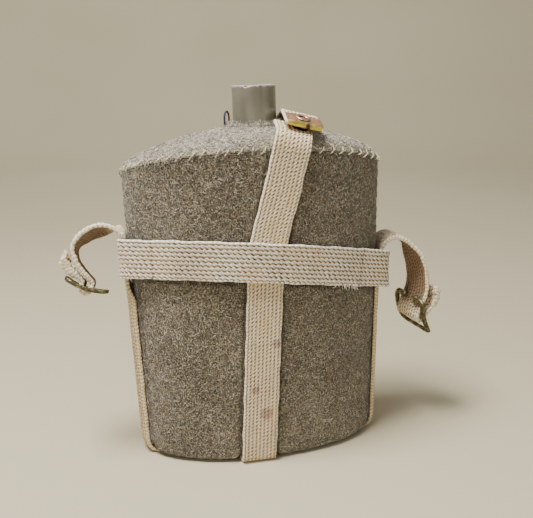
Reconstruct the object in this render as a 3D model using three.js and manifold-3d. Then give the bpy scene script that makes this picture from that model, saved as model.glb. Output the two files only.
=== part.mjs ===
// A felt-covered steel water bottle with an open neck, held in a cotton webbing carrier
// with a retaining strap over its shoulder and a brass buckle hanging on a tab at each side.
// Millimetres, +Z up, +X to the right, -Y to the front. The origin is on the ground, under
// the middle of the bottle.
import * as THREE from 'three';
import { mergeVertices } from 'three/addons/utils/BufferGeometryUtils.js';
import Module from 'manifold-3d';

// Driving sizes: the covered bottle.
const HALF_WIDTH_FOOT = 77.2;
const HALF_WIDTH_SEAM = 80.7;
const FRONT_DEPTH_FOOT = 36.9;
const FRONT_DEPTH_SEAM = 38.6;
const REAR_DEPTH = 21.5;
const REAR_POWER = 3;
const SEAM_END_HEIGHT = 183;
const SEAM_RISE = 13;
const SEAM_POWER = 1.2;
const SHOULDER_ROUND = 1.78;
const SHOULDER_SKEW = 0.26;
const FELT_BOTTOM = 0.8;
const FELT_TOP = 209;
const FELT = 3;
const STEEL = 1;
const GAP = 0.3;
const AROUND = 48;

// Driving sizes: the neck.
const NECK_X = 0.5;
const NECK_Y = -8.5;
const NECK_RADIUS = 13.1;
const NECK_WALL = 1.2;
const RIM_HEIGHT = 232;
const NECK_FOOT = 200;

// Driving sizes: the webbing carrier.
const WEB = 2.2;
const STRAP_WIDTH = 22;
const BAND_WIDTH = 24;
const BAND_HEIGHT = 119.6;
const BAND_FALL_X = -0.111;
const BAND_FALL_Y = -0.265;
const BASE_FLOOR = 5.3;
const NOTCH_HEIGHT = 4.2;
const FOOT_LEAN = -7.9;

const HALF_WEB = WEB / 2;
const HALF_STRAP = STRAP_WIDTH / 2;
const FULL_TURN = 2 * Math.PI;

const ENAMEL = { color: 0x7b7864, roughness: 0.35, metalness: 0.1 };
const FELT_WOOL = { color: 0x6b5f47, roughness: 0.95, metalness: 0 };
const FELT_THREAD = { color: 0xcdbf9c, roughness: 0.8, metalness: 0 };
const COTTON_WEB = { color: 0xc8b99b, roughness: 0.9, metalness: 0 };
const BRASS = { color: 0xb89a4e, roughness: 0.35, metalness: 1 };
const IRON_WIRE = { color: 0x3a2f2b, roughness: 0.6, metalness: 0.8 };

const wasm = await Module();
wasm.setup();

// ---- helpers -------------------------------------------------------------------------

const mix = (a, b, share) => a + (b - a) * share;

const vector = (point) => new THREE.Vector3(...point);

// Six times the volume that a triangle list encloses, negative when it is inside out.
function signedVolume(positions, index) {
  const corners = [new THREE.Vector3(), new THREE.Vector3(), new THREE.Vector3()];
  let sum = 0;
  for (let i = 0; i < index.length; i += 3) {
    corners.forEach((corner, k) => corner.fromArray(positions, 3 * index[i + k]));
    sum += corners[0].dot(corners[1].clone().cross(corners[2]));
  }
  return sum;
}

// Joins rings of equal point count into one closed surface. A looped loft joins its last ring
// to its first, and any other is closed by a fan at each end.
function loft(rings, looped = false) {
  const count = rings[0].length;
  const positions = rings.flat().flatMap((point) => [point.x, point.y, point.z]);
  const index = [];
  const pairs = looped ? rings.length : rings.length - 1;
  for (let r = 0; r < pairs; r += 1) {
    const low = r * count;
    const high = ((r + 1) % rings.length) * count;
    for (let k = 0; k < count; k += 1) {
      const next = (k + 1) % count;
      index.push(low + k, low + next, high + next, low + k, high + next, high + k);
    }
  }
  if (!looped) {
    const fan = (start, middle, turned) => {
      for (let k = 0; k < count; k += 1) {
        const pair = [start + k, start + ((k + 1) % count)];
        index.push(middle, ...(turned ? pair.reverse() : pair));
      }
    };
    const centreOf = (ring) => {
      const centre = new THREE.Vector3();
      ring.forEach((point) => centre.add(point));
      return centre.divideScalar(count).toArray();
    };
    const middle = positions.length / 3;
    positions.push(...centreOf(rings[0]), ...centreOf(rings[rings.length - 1]));
    fan(0, middle, true);
    fan((rings.length - 1) * count, middle + 1, false);
  }
  if (signedVolume(positions, index) < 0) {
    index.reverse();
  }
  const geometry = new THREE.BufferGeometry();
  geometry.setAttribute('position', new THREE.Float32BufferAttribute(positions, 3));
  geometry.setIndex(index);
  return geometry;
}

// A flat strip carried along a route: through points on a smooth curve cut into steps, or
// straight from each point to the next where steps is 0. across holds the direction of the
// strip's width, one for the whole strip or one for each point.
function strip({ points, across, width = STRAP_WIDTH, thickness = WEB, steps = 40, columns = 1 }) {
  const route = points.map(vector);
  const directions = (Array.isArray(across[0]) ? across : points.map(() => across)).map(vector);
  const centre = new THREE.CatmullRomCurve3(route, false, 'centripetal');
  const spread = new THREE.CatmullRomCurve3(directions);
  const last = points.length - 1;
  const stationAt = (i) => {
    if (steps > 0) {
      const u = i / steps;
      return [centre.getPoint(u), centre.getTangent(u), spread.getPoint(u)];
    }
    const before = route[i].clone().sub(route[Math.max(i - 1, 0)]).normalize();
    const after = route[Math.min(i + 1, last)].clone().sub(route[i]).normalize();
    return [route[i], before.add(after).normalize(), directions[i].clone()];
  };
  const shares = Array.from({ length: columns + 1 }, (_, k) => 1 - (2 * k) / columns);
  const rings = Array.from({ length: (steps || last) + 1 }, (_, i) => {
    const [middle, along, side] = stationAt(i);
    side.addScaledVector(along, -side.dot(along)).normalize();
    const face = along.clone().cross(side);
    const at = (a, b) =>
      middle.clone().addScaledVector(side, (a * width) / 2).addScaledVector(face, (b * thickness) / 2);
    return [...shares.map((a) => at(a, 1)), ...shares.toReversed().map((a) => at(a, -1))];
  });
  return loft(rings);
}

function solidFrom(geometry) {
  const bare = geometry.clone();
  bare.deleteAttribute('normal');
  bare.deleteAttribute('uv');
  const merged = mergeVertices(bare, 1e-4);
  return new wasm.Manifold(
    new wasm.Mesh({
      numProp: 3,
      vertProperties: merged.attributes.position.array,
      triVerts: new Uint32Array(merged.index.array),
    }),
  );
}

function cut(geometry, ...tools) {
  let solid = solidFrom(geometry);
  for (const tool of tools) {
    solid = solid.subtract(solidFrom(tool));
  }
  const made = solid.getMesh();
  const result = new THREE.BufferGeometry();
  result.setAttribute('position', new THREE.Float32BufferAttribute(made.vertProperties, 3));
  result.setIndex(Array.from(made.triVerts));
  return result;
}

function named(name, geometry, look) {
  const mesh = new THREE.Mesh(geometry, new THREE.MeshStandardMaterial(look));
  mesh.name = name;
  return mesh;
}

// A turned piece with its axis along +Z, from [radius, height] pairs in closed order.
function turned(profile, segments = 24) {
  const outline = [...profile, profile[0]].map(([radius, height]) => new THREE.Vector2(radius, height));
  return new THREE.LatheGeometry(outline, segments).rotateX(Math.PI / 2);
}

// ---- the covered bottle's form ---------------------------------------------------------

const growth = (z) => z / SEAM_END_HEIGHT;
const halfWidthAt = (z) => mix(HALF_WIDTH_FOOT, HALF_WIDTH_SEAM, growth(z));
const frontDepthAt = (z) => mix(FRONT_DEPTH_FOOT, FRONT_DEPTH_SEAM, growth(z));

// The plan outline at height z, drawn in by inset: half an ellipse in front and a flat-backed
// superellipse behind. angle runs from 0 at +X round the rear.
function outlinePoint(angle, z, inset = 0) {
  const c = Math.cos(angle);
  const s = Math.sin(angle);
  const width = halfWidthAt(z) - inset;
  if (s <= 0) {
    return new THREE.Vector3(width * c, (frontDepthAt(z) - inset) * s, z);
  }
  const power = 2 / REAR_POWER;
  const x = width * Math.sign(c) * Math.abs(c) ** power;
  return new THREE.Vector3(x, (REAR_DEPTH - inset) * s ** power, z);
}

const angles = Array.from({ length: AROUND }, (_, k) => (FULL_TURN * k) / AROUND);

const seamHeight = (angle) => SEAM_END_HEIGHT + SEAM_RISE * Math.abs(Math.sin(angle)) ** SEAM_POWER;

const flatRing = (z, inset) => angles.map((angle) => outlinePoint(angle, z, inset));

const seamRing = (inset, drop) =>
  angles.map((angle) => outlinePoint(angle, seamHeight(angle) - drop, inset));

// The domed top: rings from the seam in to a round hole at the neck. The share of the way in
// grows as a power of the share of the rise, which rounds the shoulder, the right side most.
function domeRings(inset, sink, holeRadius) {
  const rows = 7;
  return Array.from({ length: rows + 1 }, (_, row) => {
    const rise = row / rows;
    return angles.map((angle) => {
      const edge = outlinePoint(angle, seamHeight(angle), inset);
      const hole = new THREE.Vector3(
        NECK_X + holeRadius * Math.cos(angle),
        NECK_Y + holeRadius * Math.sin(angle),
        0,
      );
      const point = edge.clone().lerp(hole, rise ** (SHOULDER_ROUND + SHOULDER_SKEW * Math.cos(angle)));
      point.z = mix(edge.z, FELT_TOP - sink, rise);
      return point;
    });
  });
}

const dome = (outer, inner, holeRadius) =>
  loft(
    [
      ...domeRings(outer, Math.max(outer, 0), holeRadius),
      ...domeRings(inner, inner, holeRadius).reverse(),
    ],
    true,
  );

// ---- the steel bottle ------------------------------------------------------------------

const STEEL_OUT = FELT + GAP;
const STEEL_IN = STEEL_OUT + STEEL;
const STEEL_FOOT = 5.6;
const PAN_HEIGHT = 8.5;
const NECK_HOLE = NECK_RADIUS + GAP;

function bottleWall() {
  return loft(
    [
      flatRing(STEEL_FOOT, STEEL_OUT),
      seamRing(STEEL_OUT, GAP),
      seamRing(STEEL_IN, GAP),
      flatRing(STEEL_FOOT, STEEL_IN),
    ],
    true,
  );
}

const bottleShoulder = () => dome(STEEL_OUT, STEEL_IN, NECK_HOLE);

function bottleBase() {
  const inset = STEEL_IN + GAP;
  return loft([flatRing(PAN_HEIGHT, inset), flatRing(PAN_HEIGHT + STEEL, inset)]);
}

// The neck tube: straight, with an eased rim, and a flange that holds it under the shoulder.
function bottleNeck() {
  const inner = NECK_RADIUS - NECK_WALL;
  const ease = 0.4;
  const flange = NECK_RADIUS + 1.6;
  const tube = turned(
    [
      [inner, NECK_FOOT],
      [flange, NECK_FOOT],
      [flange, NECK_FOOT + 1],
      [NECK_RADIUS, NECK_FOOT + 1.6],
      [NECK_RADIUS, RIM_HEIGHT - ease],
      [NECK_RADIUS - ease, RIM_HEIGHT],
      [inner + ease, RIM_HEIGHT],
      [inner, RIM_HEIGHT - ease],
    ],
    36,
  );
  return tube.translate(NECK_X, NECK_Y, 0);
}

// The wire staple beside the neck that a stopper cord ties to: two legs and a round bend.
const EYE_X = -16.1;
const EYE_Y = -8.5;
const EYE_HALF_SPAN = 3;
const EYE_FOOT = 205.5;
const EYE_SPRING = 213.2;
const EYE_WIRE = 0.7;

function cordEye(wireRadius, foot) {
  const path = new THREE.CurvePath();
  const at = (side, z) => new THREE.Vector3(EYE_X + 0.2 * side, EYE_Y + side * EYE_HALF_SPAN, z);
  const crown = new THREE.CatmullRomCurve3([
    at(-1, EYE_SPRING),
    at(-0.72, EYE_SPRING + 2.7),
    at(0, EYE_SPRING + 3.9),
    at(0.72, EYE_SPRING + 2.7),
    at(1, EYE_SPRING),
  ]);
  path.add(new THREE.LineCurve3(at(-1, foot), at(-1, EYE_SPRING)));
  path.add(crown);
  path.add(new THREE.LineCurve3(at(1, EYE_SPRING), at(1, foot)));
  const section = new THREE.Shape();
  section.absarc(0, 0, wireRadius, 0, FULL_TURN);
  return new THREE.ExtrudeGeometry(section, {
    steps: 24,
    curveSegments: 4,
    extrudePath: path,
    bevelEnabled: false,
  });
}

// ---- the felt cover --------------------------------------------------------------------

const FOOT_ROUND = [
  [0, 3.4],
  [0.9, 1.5],
  [2.4, 0.5],
  [4.6, 0],
];

// The side panel, with a rounded foot edge and a notch over each webbing strap.
function coverWall() {
  const foot = FOOT_ROUND.map(([rise, inset]) => flatRing(FELT_BOTTOM + rise, inset));
  const wall = loft(
    [
      ...foot,
      seamRing(0, GAP),
      seamRing(FELT, GAP),
      flatRing(BASE_FLOOR - GAP, FELT),
      flatRing(FELT_BOTTOM, FELT + 0.9),
    ],
    true,
  );
  const across = STRAP_WIDTH + 1.2;
  const reach = 3 * HALF_WIDTH_FOOT;
  const height = 2 * NOTCH_HEIGHT;
  return cut(
    wall,
    new THREE.BoxGeometry(across, reach, height).translate(FOOT_LEAN, 0, 0),
    new THREE.BoxGeometry(reach, across, height),
  );
}

const coverTop = () =>
  cut(dome(0, FELT, NECK_HOLE), cordEye(EYE_WIRE + 0.35, EYE_FOOT - 2));

function coverBase() {
  const inset = STEEL_IN + GAP;
  return loft([flatRing(BASE_FLOOR, inset), flatRing(BASE_FLOOR + 2.6, inset)]);
}

// One round of sewing thread lying in the angle of a seam.
function seamThread(heightOf, inset) {
  const radius = 0.3;
  const sides = 4;
  const rings = Array.from({ length: sides }, (_, k) => {
    const turn = (FULL_TURN * k) / sides;
    return angles.map((angle) =>
      outlinePoint(angle, heightOf(angle) + radius * Math.sin(turn), inset - radius * Math.cos(turn)),
    );
  });
  return loft(rings, true);
}

const topSeamThread = () => seamThread(seamHeight, -0.5);
const baseSeamThread = () => seamThread(() => BASE_FLOOR - 0.5, FELT + 0.9);

// The side panel's closing seam runs up the rear, to the left of the webbing.
function rearSeamThread() {
  const angle = 1.95;
  const spine = [8, 60, 120, 180].map((z) => outlinePoint(angle, z, -0.5).toArray());
  return strip({ points: spine, across: [1, 0, 0], width: 0.8, thickness: 0.5, steps: 6 });
}

// ---- the webbing carrier ---------------------------------------------------------------

const bandHeight = (x, y) => BAND_HEIGHT + BAND_FALL_X * x + BAND_FALL_Y * y;
const FRONT_STAND = 0.4 + HALF_WEB;
const SIDE_STAND_TOP = 3.3 + 0.3 - WEB + HALF_WEB;
const SIDE_STAND_FOOT = GAP + HALF_WEB + 0.3;
const CORNER = 5;
const LEAN = 0.057;
const leanAt = (z) => FOOT_LEAN + LEAN * z;

const frontFace = (z) => -frontDepthAt(z) - FRONT_STAND;
const rearFace = REAR_DEPTH + FRONT_STAND;

// A half route down one face and round the bend under the base, as [outwards, height] pairs
// from the top end to the base's middle.
function halfCradle(faceAt, top, levels, floor) {
  const path = new THREE.Path();
  const low = HALF_WEB + CORNER;
  path.moveTo(faceAt(top), top);
  levels.forEach((z) => path.lineTo(faceAt(z), z));
  path.lineTo(faceAt(0), low);
  path.quadraticCurveTo(faceAt(0), HALF_WEB, faceAt(0) - CORNER, HALF_WEB);
  floor.forEach(([out, z]) => path.lineTo(out, z));
  return path.getPoints(6);
}

// The long cradle strap: down the front, under the base and up the rear.
function frontRearRoute() {
  const top = bandHeight(0, -FRONT_DEPTH_SEAM) - 3.6;
  const rearTop = bandHeight(0, REAR_DEPTH) - 4.4;
  const front = halfCradle((z) => -frontFace(z), top, [60], [[0, HALF_WEB]]);
  const rear = halfCradle(() => rearFace, rearTop, [60], []);
  const at = (y, z) => [leanAt(z), y, z];
  return {
    points: [...front.map(({ x, y }) => at(-x, y)), ...rear.reverse().map(({ x, y }) => at(x, y))],
    across: [1, 0, 0],
    steps: 0,
  };
}

// The short cradle strap: from side to side under the base, over the long one.
function sideRoute() {
  const hop = HALF_WEB + WEB + 0.35;
  const foot = HALF_WIDTH_FOOT + SIDE_STAND_FOOT;
  const ramp = 7;
  const half = (side) => {
    const top = bandHeight(side * HALF_WIDTH_SEAM, 0) - 1;
    const face = (z) => mix(foot, halfWidthAt(top) + SIDE_STAND_TOP, z / top);
    const edge = HALF_STRAP + 2 + side * FOOT_LEAN;
    const floor = [
      [edge + ramp, HALF_WEB],
      [edge, hop],
    ];
    const levels = [92, 85, 78, 71, 50, 34, 28, 22, 16, 9];
    return halfCradle(face, top, levels, floor).map(({ x, y }) => [side * x, 0, y]);
  };
  return {
    points: [...half(-1), ...half(1).reverse()],
    across: [0, 1, 0],
    steps: 0,
    columns: 6,
  };
}

// How far the outline's side has turned in from its widest at depth y.
function sideDrop(y) {
  const front = 1 - Math.sqrt(1 - (y / FRONT_DEPTH_FOOT) ** 2);
  const rear = 1 - (1 - Math.abs(y / REAR_DEPTH) ** REAR_POWER) ** (1 / REAR_POWER);
  return HALF_WIDTH_FOOT * (y < 0 ? front : rear);
}

// Wraps a strip that is flat across y round the bottle's side, apart from its ends.
function hugSide(geometry) {
  const place = geometry.attributes.position;
  for (let i = 0; i < place.count; i += 1) {
    const x = place.getX(i);
    const z = place.getZ(i);
    const { smoothstep } = THREE.MathUtils;
    const hold = smoothstep(z, 9, 34) * (1 - smoothstep(z, 71, 92));
    place.setX(i, x - Math.sign(x) * sideDrop(place.getY(i)) * hold);
  }
  return geometry;
}

const sideCradleStrap = () => hugSide(strip(sideRoute()));

// Half of the band, from one side to the other, between two angles of the outline. It stands
// off the felt over the front and rear straps, and runs flat over the straps at the sides.
const BAND_STAND = 1.2 + HALF_WEB;
const BAND_SIDE = halfWidthAt(BAND_HEIGHT) + SIDE_STAND_TOP + WEB + GAP;
const BAND_STEPS = 60;

function band(from, to) {
  const points = Array.from({ length: BAND_STEPS + 1 }, (_, k) => {
    const angle = mix(from, to, k / BAND_STEPS);
    const overStrap = Math.exp(-((Math.cos(angle) / 0.34) ** 4));
    const { x, y } = outlinePoint(angle, BAND_HEIGHT, -(BAND_STAND + 2.4 * overStrap));
    const flatEnd = y < 0 ? 26 : 21;
    const hold = 1 - THREE.MathUtils.smoothstep(Math.abs(y), HALF_STRAP + 1.5, flatEnd);
    const side = Math.sign(x) * mix(Math.abs(x), BAND_SIDE, hold);
    return [side, y, bandHeight(side, y)];
  });
  return strip({ points, across: [0, 0, 1], width: BAND_WIDTH, steps: 0 });
}

const SIDE_JOIN = 0.02;
const carrierBandFront = () => band(Math.PI + SIDE_JOIN, FULL_TURN - SIDE_JOIN);
const carrierBandRear = () => band(SIDE_JOIN, Math.PI - SIDE_JOIN);

// The press stud's centre on the flap's middle line, and its slopes there.
const STUD_CENTRE = [24.3, -31, 211];
const STUD_SLOPE = new THREE.Euler(0.34, 0.25, 0, 'YXZ');
const STUD_ACROSS = [1, 0, -0.255];
const TIP_FRONT = 6.3;
const TIP_REAR = 7;

// Stands a geometry made round the stud's own axis in its place on the shoulder.
function studPlaced(geometry) {
  const turn = new THREE.Matrix4().makeRotationFromEuler(STUD_SLOPE);
  return geometry.applyMatrix4(turn).translate(...STUD_CENTRE);
}

// A point given from the stud's centre: across the strap, along it and out of its face.
const byStud = (across, along, out) =>
  new THREE.Vector3(across, along, out).applyEuler(STUD_SLOPE).add(vector(STUD_CENTRE)).toArray();

const drill = (radius) => studPlaced(turned([[0, -9], [radius, -9], [radius, 9], [0, 9]], 24));

// The retaining strap's front half leans to the right as it climbs, bends back over the
// shoulder and ends under the press stud.
function frontRetainingStrap() {
  const start = bandHeight(0, -FRONT_DEPTH_SEAM) + 0.2;
  const upright = [1, 0, -0.258];
  const geometry = strip({
    points: [
      [-0.9, frontFace(start), start],
      [3.4, frontFace(150), 150],
      [9.8, frontFace(172), 172],
      [13.2, frontFace(187) - 0.4, 186],
      [15.0, frontFace(190) - 0.7, 193],
      [16.4, -41.0, 198.4],
      [17.5, -39.6, 202.4],
      byStud(-3.8, -6.5, -5.3),
      byStud(-3.8, 0, -5.3),
      byStud(-3.8, 5.5, -5.3),
    ],
    across: [...Array.from({ length: 6 }, () => upright), ...Array.from({ length: 4 }, () => STUD_ACROSS)],
    steps: 44,
  });
  return cut(geometry, drill(1.7));
}

// ---- retaining strap, rear half ----------------------------------------------------------

function rearStrapFoot() {
  const start = bandHeight(0, REAR_DEPTH) + 0.2;
  const lean = [1, 0, -0.32];
  return strip({
    points: [
      [0.6, rearFace, start],
      [10.2, rearFace, 145],
      [19.4, rearFace, 175],
      [22.8, rearFace + 0.3, 186],
      [25.4, rearFace + 1.0, 195.5],
      [27.0, 22.2, 202.4],
      [28.0, 18.6, 206.6],
      [28.3, 14.9, 208.0],
    ],
    across: [lean, lean, lean, lean, lean, STUD_ACROSS, STUD_ACROSS, STUD_ACROSS],
    steps: 40,
  });
}

function flapStrap() {
  const route = strip({
    points: [
      [28.2, 13.0, 208.5],
      [27.8, 7, 209.6],
      [27.3, -1, 211.4],
      [26.7, -9, 213.2],
      [25.8, -17, 214.2],
      byStud(0, TIP_REAR, 0),
      byStud(0, 0, 0),
      byStud(0, -TIP_FRONT, 0),
    ],
    across: STUD_ACROSS,
    steps: 34,
  });
  return cut(route, drill(2.7));
}

// The brass tip: one plate folded over the flap's end.
function strapTip() {
  const plate = 0.4;
  const inside = HALF_WEB + 0.25;
  const outside = inside + plate;
  const nose = TIP_FRONT + GAP;
  const profile = new THREE.Shape();
  profile.moveTo(TIP_REAR - 1, inside);
  profile.lineTo(TIP_REAR - 1, outside);
  profile.lineTo(-nose + 0.8, outside);
  profile.quadraticCurveTo(-nose - plate, outside, -nose - plate, 0);
  profile.quadraticCurveTo(-nose - plate, -outside, -nose + 0.8, -outside);
  profile.lineTo(TIP_REAR - 1, -outside);
  profile.lineTo(TIP_REAR - 1, -inside);
  profile.lineTo(-nose + 0.6, -inside);
  profile.quadraticCurveTo(-nose, -inside, -nose, 0);
  profile.quadraticCurveTo(-nose, inside, -nose + 0.6, inside);
  const width = STRAP_WIDTH + 2;
  const folded = new THREE.ExtrudeGeometry(profile, {
    depth: width,
    bevelEnabled: false,
    curveSegments: 5,
  });
  const basis = new THREE.Matrix4().makeBasis(
    new THREE.Vector3(0, 1, 0),
    new THREE.Vector3(0, 0, 1),
    new THREE.Vector3(1, 0, 0),
  );
  folded.translate(0, 0, -width / 2).applyMatrix4(basis);
  return cut(studPlaced(folded), drill(2.7));
}

const snapEyelet = () =>
  studPlaced(
    turned([
      [1.7, -1.9],
      [2.3, -1.9],
      [2.3, 2],
      [4.2, 2],
      [4.5, 2.25],
      [4.1, 2.6],
      [2.2, 2.6],
      [1.7, 2.2],
    ]),
  );

const snapSocket = () =>
  studPlaced(
    turned([
      [3.6, -3.2],
      [4.9, -3.2],
      [5.2, -2.9],
      [5.2, -2],
      [3.6, -2],
    ]),
  );

const snapStud = () =>
  studPlaced(
    turned([
      [0, -6.6],
      [1.3, -6.6],
      [1.3, -3.9],
      [4.6, -3.9],
      [4.6, -3.5],
      [2.4, -3.5],
      [2.4, -3.1],
      [2.8, -2.6],
      [2.2, -2.2],
      [0, -2.2],
    ]),
  );

const snapWasher = () =>
  studPlaced(
    turned([
      [1.6, -6.95],
      [4.2, -6.95],
      [4.2, -6.6],
      [1.6, -6.6],
    ]),
  );

// ---- buckle tabs and buckles --------------------------------------------------------------

// Each side's hinge line is level with the band's top edge at its front corner.
const HINGE_GAP = 0.7;
const tabHinge = (side) => {
  const x = side * (halfWidthAt(BAND_HEIGHT) + SIDE_STAND_TOP);
  return [x, 0, bandHeight(x, -HALF_STRAP) + BAND_WIDTH / 2 + HINGE_GAP + 0.2];
};

function tabSewnEnd(side) {
  const [x, y, z] = tabHinge(side);
  const foot = bandHeight(x, 0) - 0.4;
  const points = [[x, y, foot], [x, y, z - HINGE_GAP]];
  return strip({ points, across: [0, 1, 0], steps: 0 });
}

// Each tab rises from the band, arches outwards and folds round its buckle's middle bar. Each
// route's points are relative to its hinge, and a twist turns the fold to the buckle.
const LEFT_BAR = [-106.7, -1, 112.8];
const LEFT_ACROSS = [0, 0.97, -0.243];
const LEFT_DOWN = [0.918, -0.093, -0.37];
const RIGHT_BAR = [106.4, -4, 79.4];
const RIGHT_ACROSS = [-0.274, 0.957, 0.095];
const RIGHT_DOWN = [0.299, 0.179, -0.937];
const FOLD_RADIUS = 2.95;

// Points round a bar, from one face of the buckle to the other, by turns about the bar.
function foldRound(bar, across, down, from, to, count) {
  const turnAxis = vector(across).normalize();
  const reach = vector(down).addScaledVector(turnAxis, -vector(down).dot(turnAxis)).normalize();
  return Array.from({ length: count }, (_, k) => {
    const turn = mix(from, to, k / (count - 1));
    const spoke = reach.clone().applyAxisAngle(turnAxis, turn).multiplyScalar(FOLD_RADIUS);
    return spoke.add(vector(bar)).toArray();
  });
}

function leftTab() {
  const [x, , z] = tabHinge(-1);
  const straight = [0, 1, 0];
  const fold = foldRound(LEFT_BAR, LEFT_ACROSS, LEFT_DOWN, -0.2, Math.PI + 0.2, 7);
  const points = [
    [x, 0, z + HINGE_GAP],
    [-84.2, 0, 148.2],
    [-88.2, 0, 150.2],
    [-93.5, 0, 150.9],
    [-99.5, 0, 150.0],
    [-105.3, 0, 147.2],
    [-109.6, 0, 142.6],
    [-111.6, 0, 137],
    [-110.9, -0.5, 130.5],
    [-108.4, -0.3, 124.5],
    [-105.2, -0.2, 119.5],
    [-102.7, -0.4, 115.6],
    ...fold,
    [-108.3, 0.1, 117.6],
    [-111.8, 0.2, 121.0],
    [-115.2, 0, 124.6],
    [-117.7, 0, 129.4],
    [-118, 0, 135],
  ];
  const across = points.map((_, k) => (k < 7 ? straight : LEFT_ACROSS));
  return strip({ points, across, steps: 90 });
}

function rightTab() {
  const [x, , z] = tabHinge(1);
  const straight = [0, 1, 0];
  const fold = foldRound(RIGHT_BAR, RIGHT_ACROSS, RIGHT_DOWN, 1.75, -1.2, 7);
  const points = [
    [x, 0, z + HINGE_GAP],
    [84.2, 0, 129.9],
    [87.8, 0, 132.6],
    [92.8, -0.3, 133.2],
    [98.2, -1, 130.9],
    [103.3, -2, 126.3],
    [106.8, -2.5, 119.3],
    [109.2, -3, 111.5],
    [110.2, -3.5, 103.5],
    [109.6, -4, 95.5],
    [106.9, -4.3, 88.2],
    [104.4, -4.6, 82.6],
    ...fold,
    [113.0, -3.3, 84.2],
    [116.3, -3.2, 87.8],
    [118.2, -3, 92.3],
    [117.6, -3, 97.6],
  ];
  const across = points.map((_, k) => (k < 6 ? straight : RIGHT_ACROSS));
  return strip({ points, across, steps: 90 });
}

// A brass tongueless buckle lying in its own plane: x across the strap, y towards the plain
// end, z through its thickness. A middle bar carries the tab, and two horns leave the other
// end open.
const BUCKLE_WIDTH = 31;
const BUCKLE_LENGTH = 27;
const BUCKLE_THICK = 1.9;
const BUCKLE_RAIL = 2.7;
const BUCKLE_BAR = 2.6;
const HORN_GAP = 8;

function buckleGeometry() {
  const w = BUCKLE_WIDTH / 2;
  const h = BUCKLE_LENGTH / 2;
  const inner = w - BUCKLE_RAIL;
  const far = h - BUCKLE_RAIL;
  const bar = BUCKLE_BAR / 2;
  const horn = HORN_GAP / 2;
  const round = 2.4;
  const frame = new THREE.Shape();
  frame.moveTo(-w + round, h);
  frame.quadraticCurveTo(-w, h, -w, h - round);
  frame.lineTo(-w, -h + round);
  frame.quadraticCurveTo(-w, -h, -w + round, -h);
  frame.lineTo(-horn - 1, -h);
  frame.quadraticCurveTo(-horn, -h, -horn, -h + BUCKLE_RAIL / 2);
  frame.quadraticCurveTo(-horn, -far, -horn - 1, -far);
  frame.lineTo(-inner, -far);
  frame.lineTo(-inner, -bar);
  frame.lineTo(inner, -bar);
  frame.lineTo(inner, -far);
  frame.lineTo(horn + 1, -far);
  frame.quadraticCurveTo(horn, -far, horn, -h + BUCKLE_RAIL / 2);
  frame.quadraticCurveTo(horn, -h, horn + 1, -h);
  frame.lineTo(w - round, -h);
  frame.quadraticCurveTo(w, -h, w, -h + round);
  frame.lineTo(w, h - round);
  frame.quadraticCurveTo(w, h, w - round, h);
  const slot = new THREE.Path();
  slot.moveTo(-inner, bar);
  slot.lineTo(inner, bar);
  slot.lineTo(inner, far);
  slot.lineTo(-inner, far);
  frame.holes.push(slot);
  const flat = new THREE.ExtrudeGeometry(frame, {
    depth: BUCKLE_THICK,
    bevelEnabled: false,
    curveSegments: 4,
  });
  return flat.translate(0, 0, -BUCKLE_THICK / 2);
}

function buckle(bar, across, down) {
  const x = vector(across).normalize();
  const y = vector(down).addScaledVector(x, -vector(down).dot(x)).normalize();
  const z = x.clone().cross(y);
  const basis = new THREE.Matrix4().makeBasis(x, y, z);
  return buckleGeometry().applyMatrix4(basis).translate(...bar);
}

// ---- assembly ------------------------------------------------------------------------------

const bottle = new THREE.Group();
bottle.add(
  named('bottle_wall', bottleWall(), ENAMEL),
  named('bottle_shoulder', bottleShoulder(), ENAMEL),
  named('bottle_base', bottleBase(), ENAMEL),
  named('bottle_neck', bottleNeck(), ENAMEL),
  named('stopper_cord_eye', cordEye(EYE_WIRE, EYE_FOOT), IRON_WIRE),
);

const cover = new THREE.Group();
cover.add(
  named('cover_wall', coverWall(), FELT_WOOL),
  named('cover_top', coverTop(), FELT_WOOL),
  named('cover_base', coverBase(), FELT_WOOL),
  named('cover_top_seam_thread', topSeamThread(), FELT_THREAD),
  named('cover_base_seam_thread', baseSeamThread(), FELT_THREAD),
  named('cover_rear_seam_thread', rearSeamThread(), FELT_THREAD),
);

const carrier = new THREE.Group();
carrier.add(
  named('front_rear_cradle_strap', strip(frontRearRoute()), COTTON_WEB),
  named('side_cradle_strap', sideCradleStrap(), COTTON_WEB),
  named('carrier_band_front', carrierBandFront(), COTTON_WEB),
  named('carrier_band_rear', carrierBandRear(), COTTON_WEB),
  named('front_retaining_strap', frontRetainingStrap(), COTTON_WEB),
  named('rear_strap_foot', rearStrapFoot(), COTTON_WEB),
  named('left_tab_sewn_end', tabSewnEnd(-1), COTTON_WEB),
  named('right_tab_sewn_end', tabSewnEnd(1), COTTON_WEB),
  named('snap_stud', snapStud(), BRASS),
  named('snap_washer', snapWasher(), BRASS),
);

const flap = new THREE.Group();
flap.add(
  named('retaining_flap', flapStrap(), COTTON_WEB),
  named('strap_tip', strapTip(), BRASS),
  named('snap_eyelet', snapEyelet(), BRASS),
  named('snap_socket', snapSocket(), BRASS),
);

const tabs = new THREE.Group();
tabs.add(
  named('left_buckle_tab', leftTab(), COTTON_WEB),
  named('left_buckle', buckle(LEFT_BAR, LEFT_ACROSS, LEFT_DOWN), BRASS),
  named('right_buckle_tab', rightTab(), COTTON_WEB),
  named('right_buckle', buckle(RIGHT_BAR, RIGHT_ACROSS, RIGHT_DOWN), BRASS),
);

const canteen = new THREE.Group();
canteen.add(bottle, cover, carrier, flap, tabs);

export default canteen;
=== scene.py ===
"""A felt-covered water bottle in its webbing carrier: finished surfaces and materials built
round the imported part. Lengths in the shape functions are millimetres until a mesh is made."""

import math

import bpy
import numpy as np
from mathutils import Matrix


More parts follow.
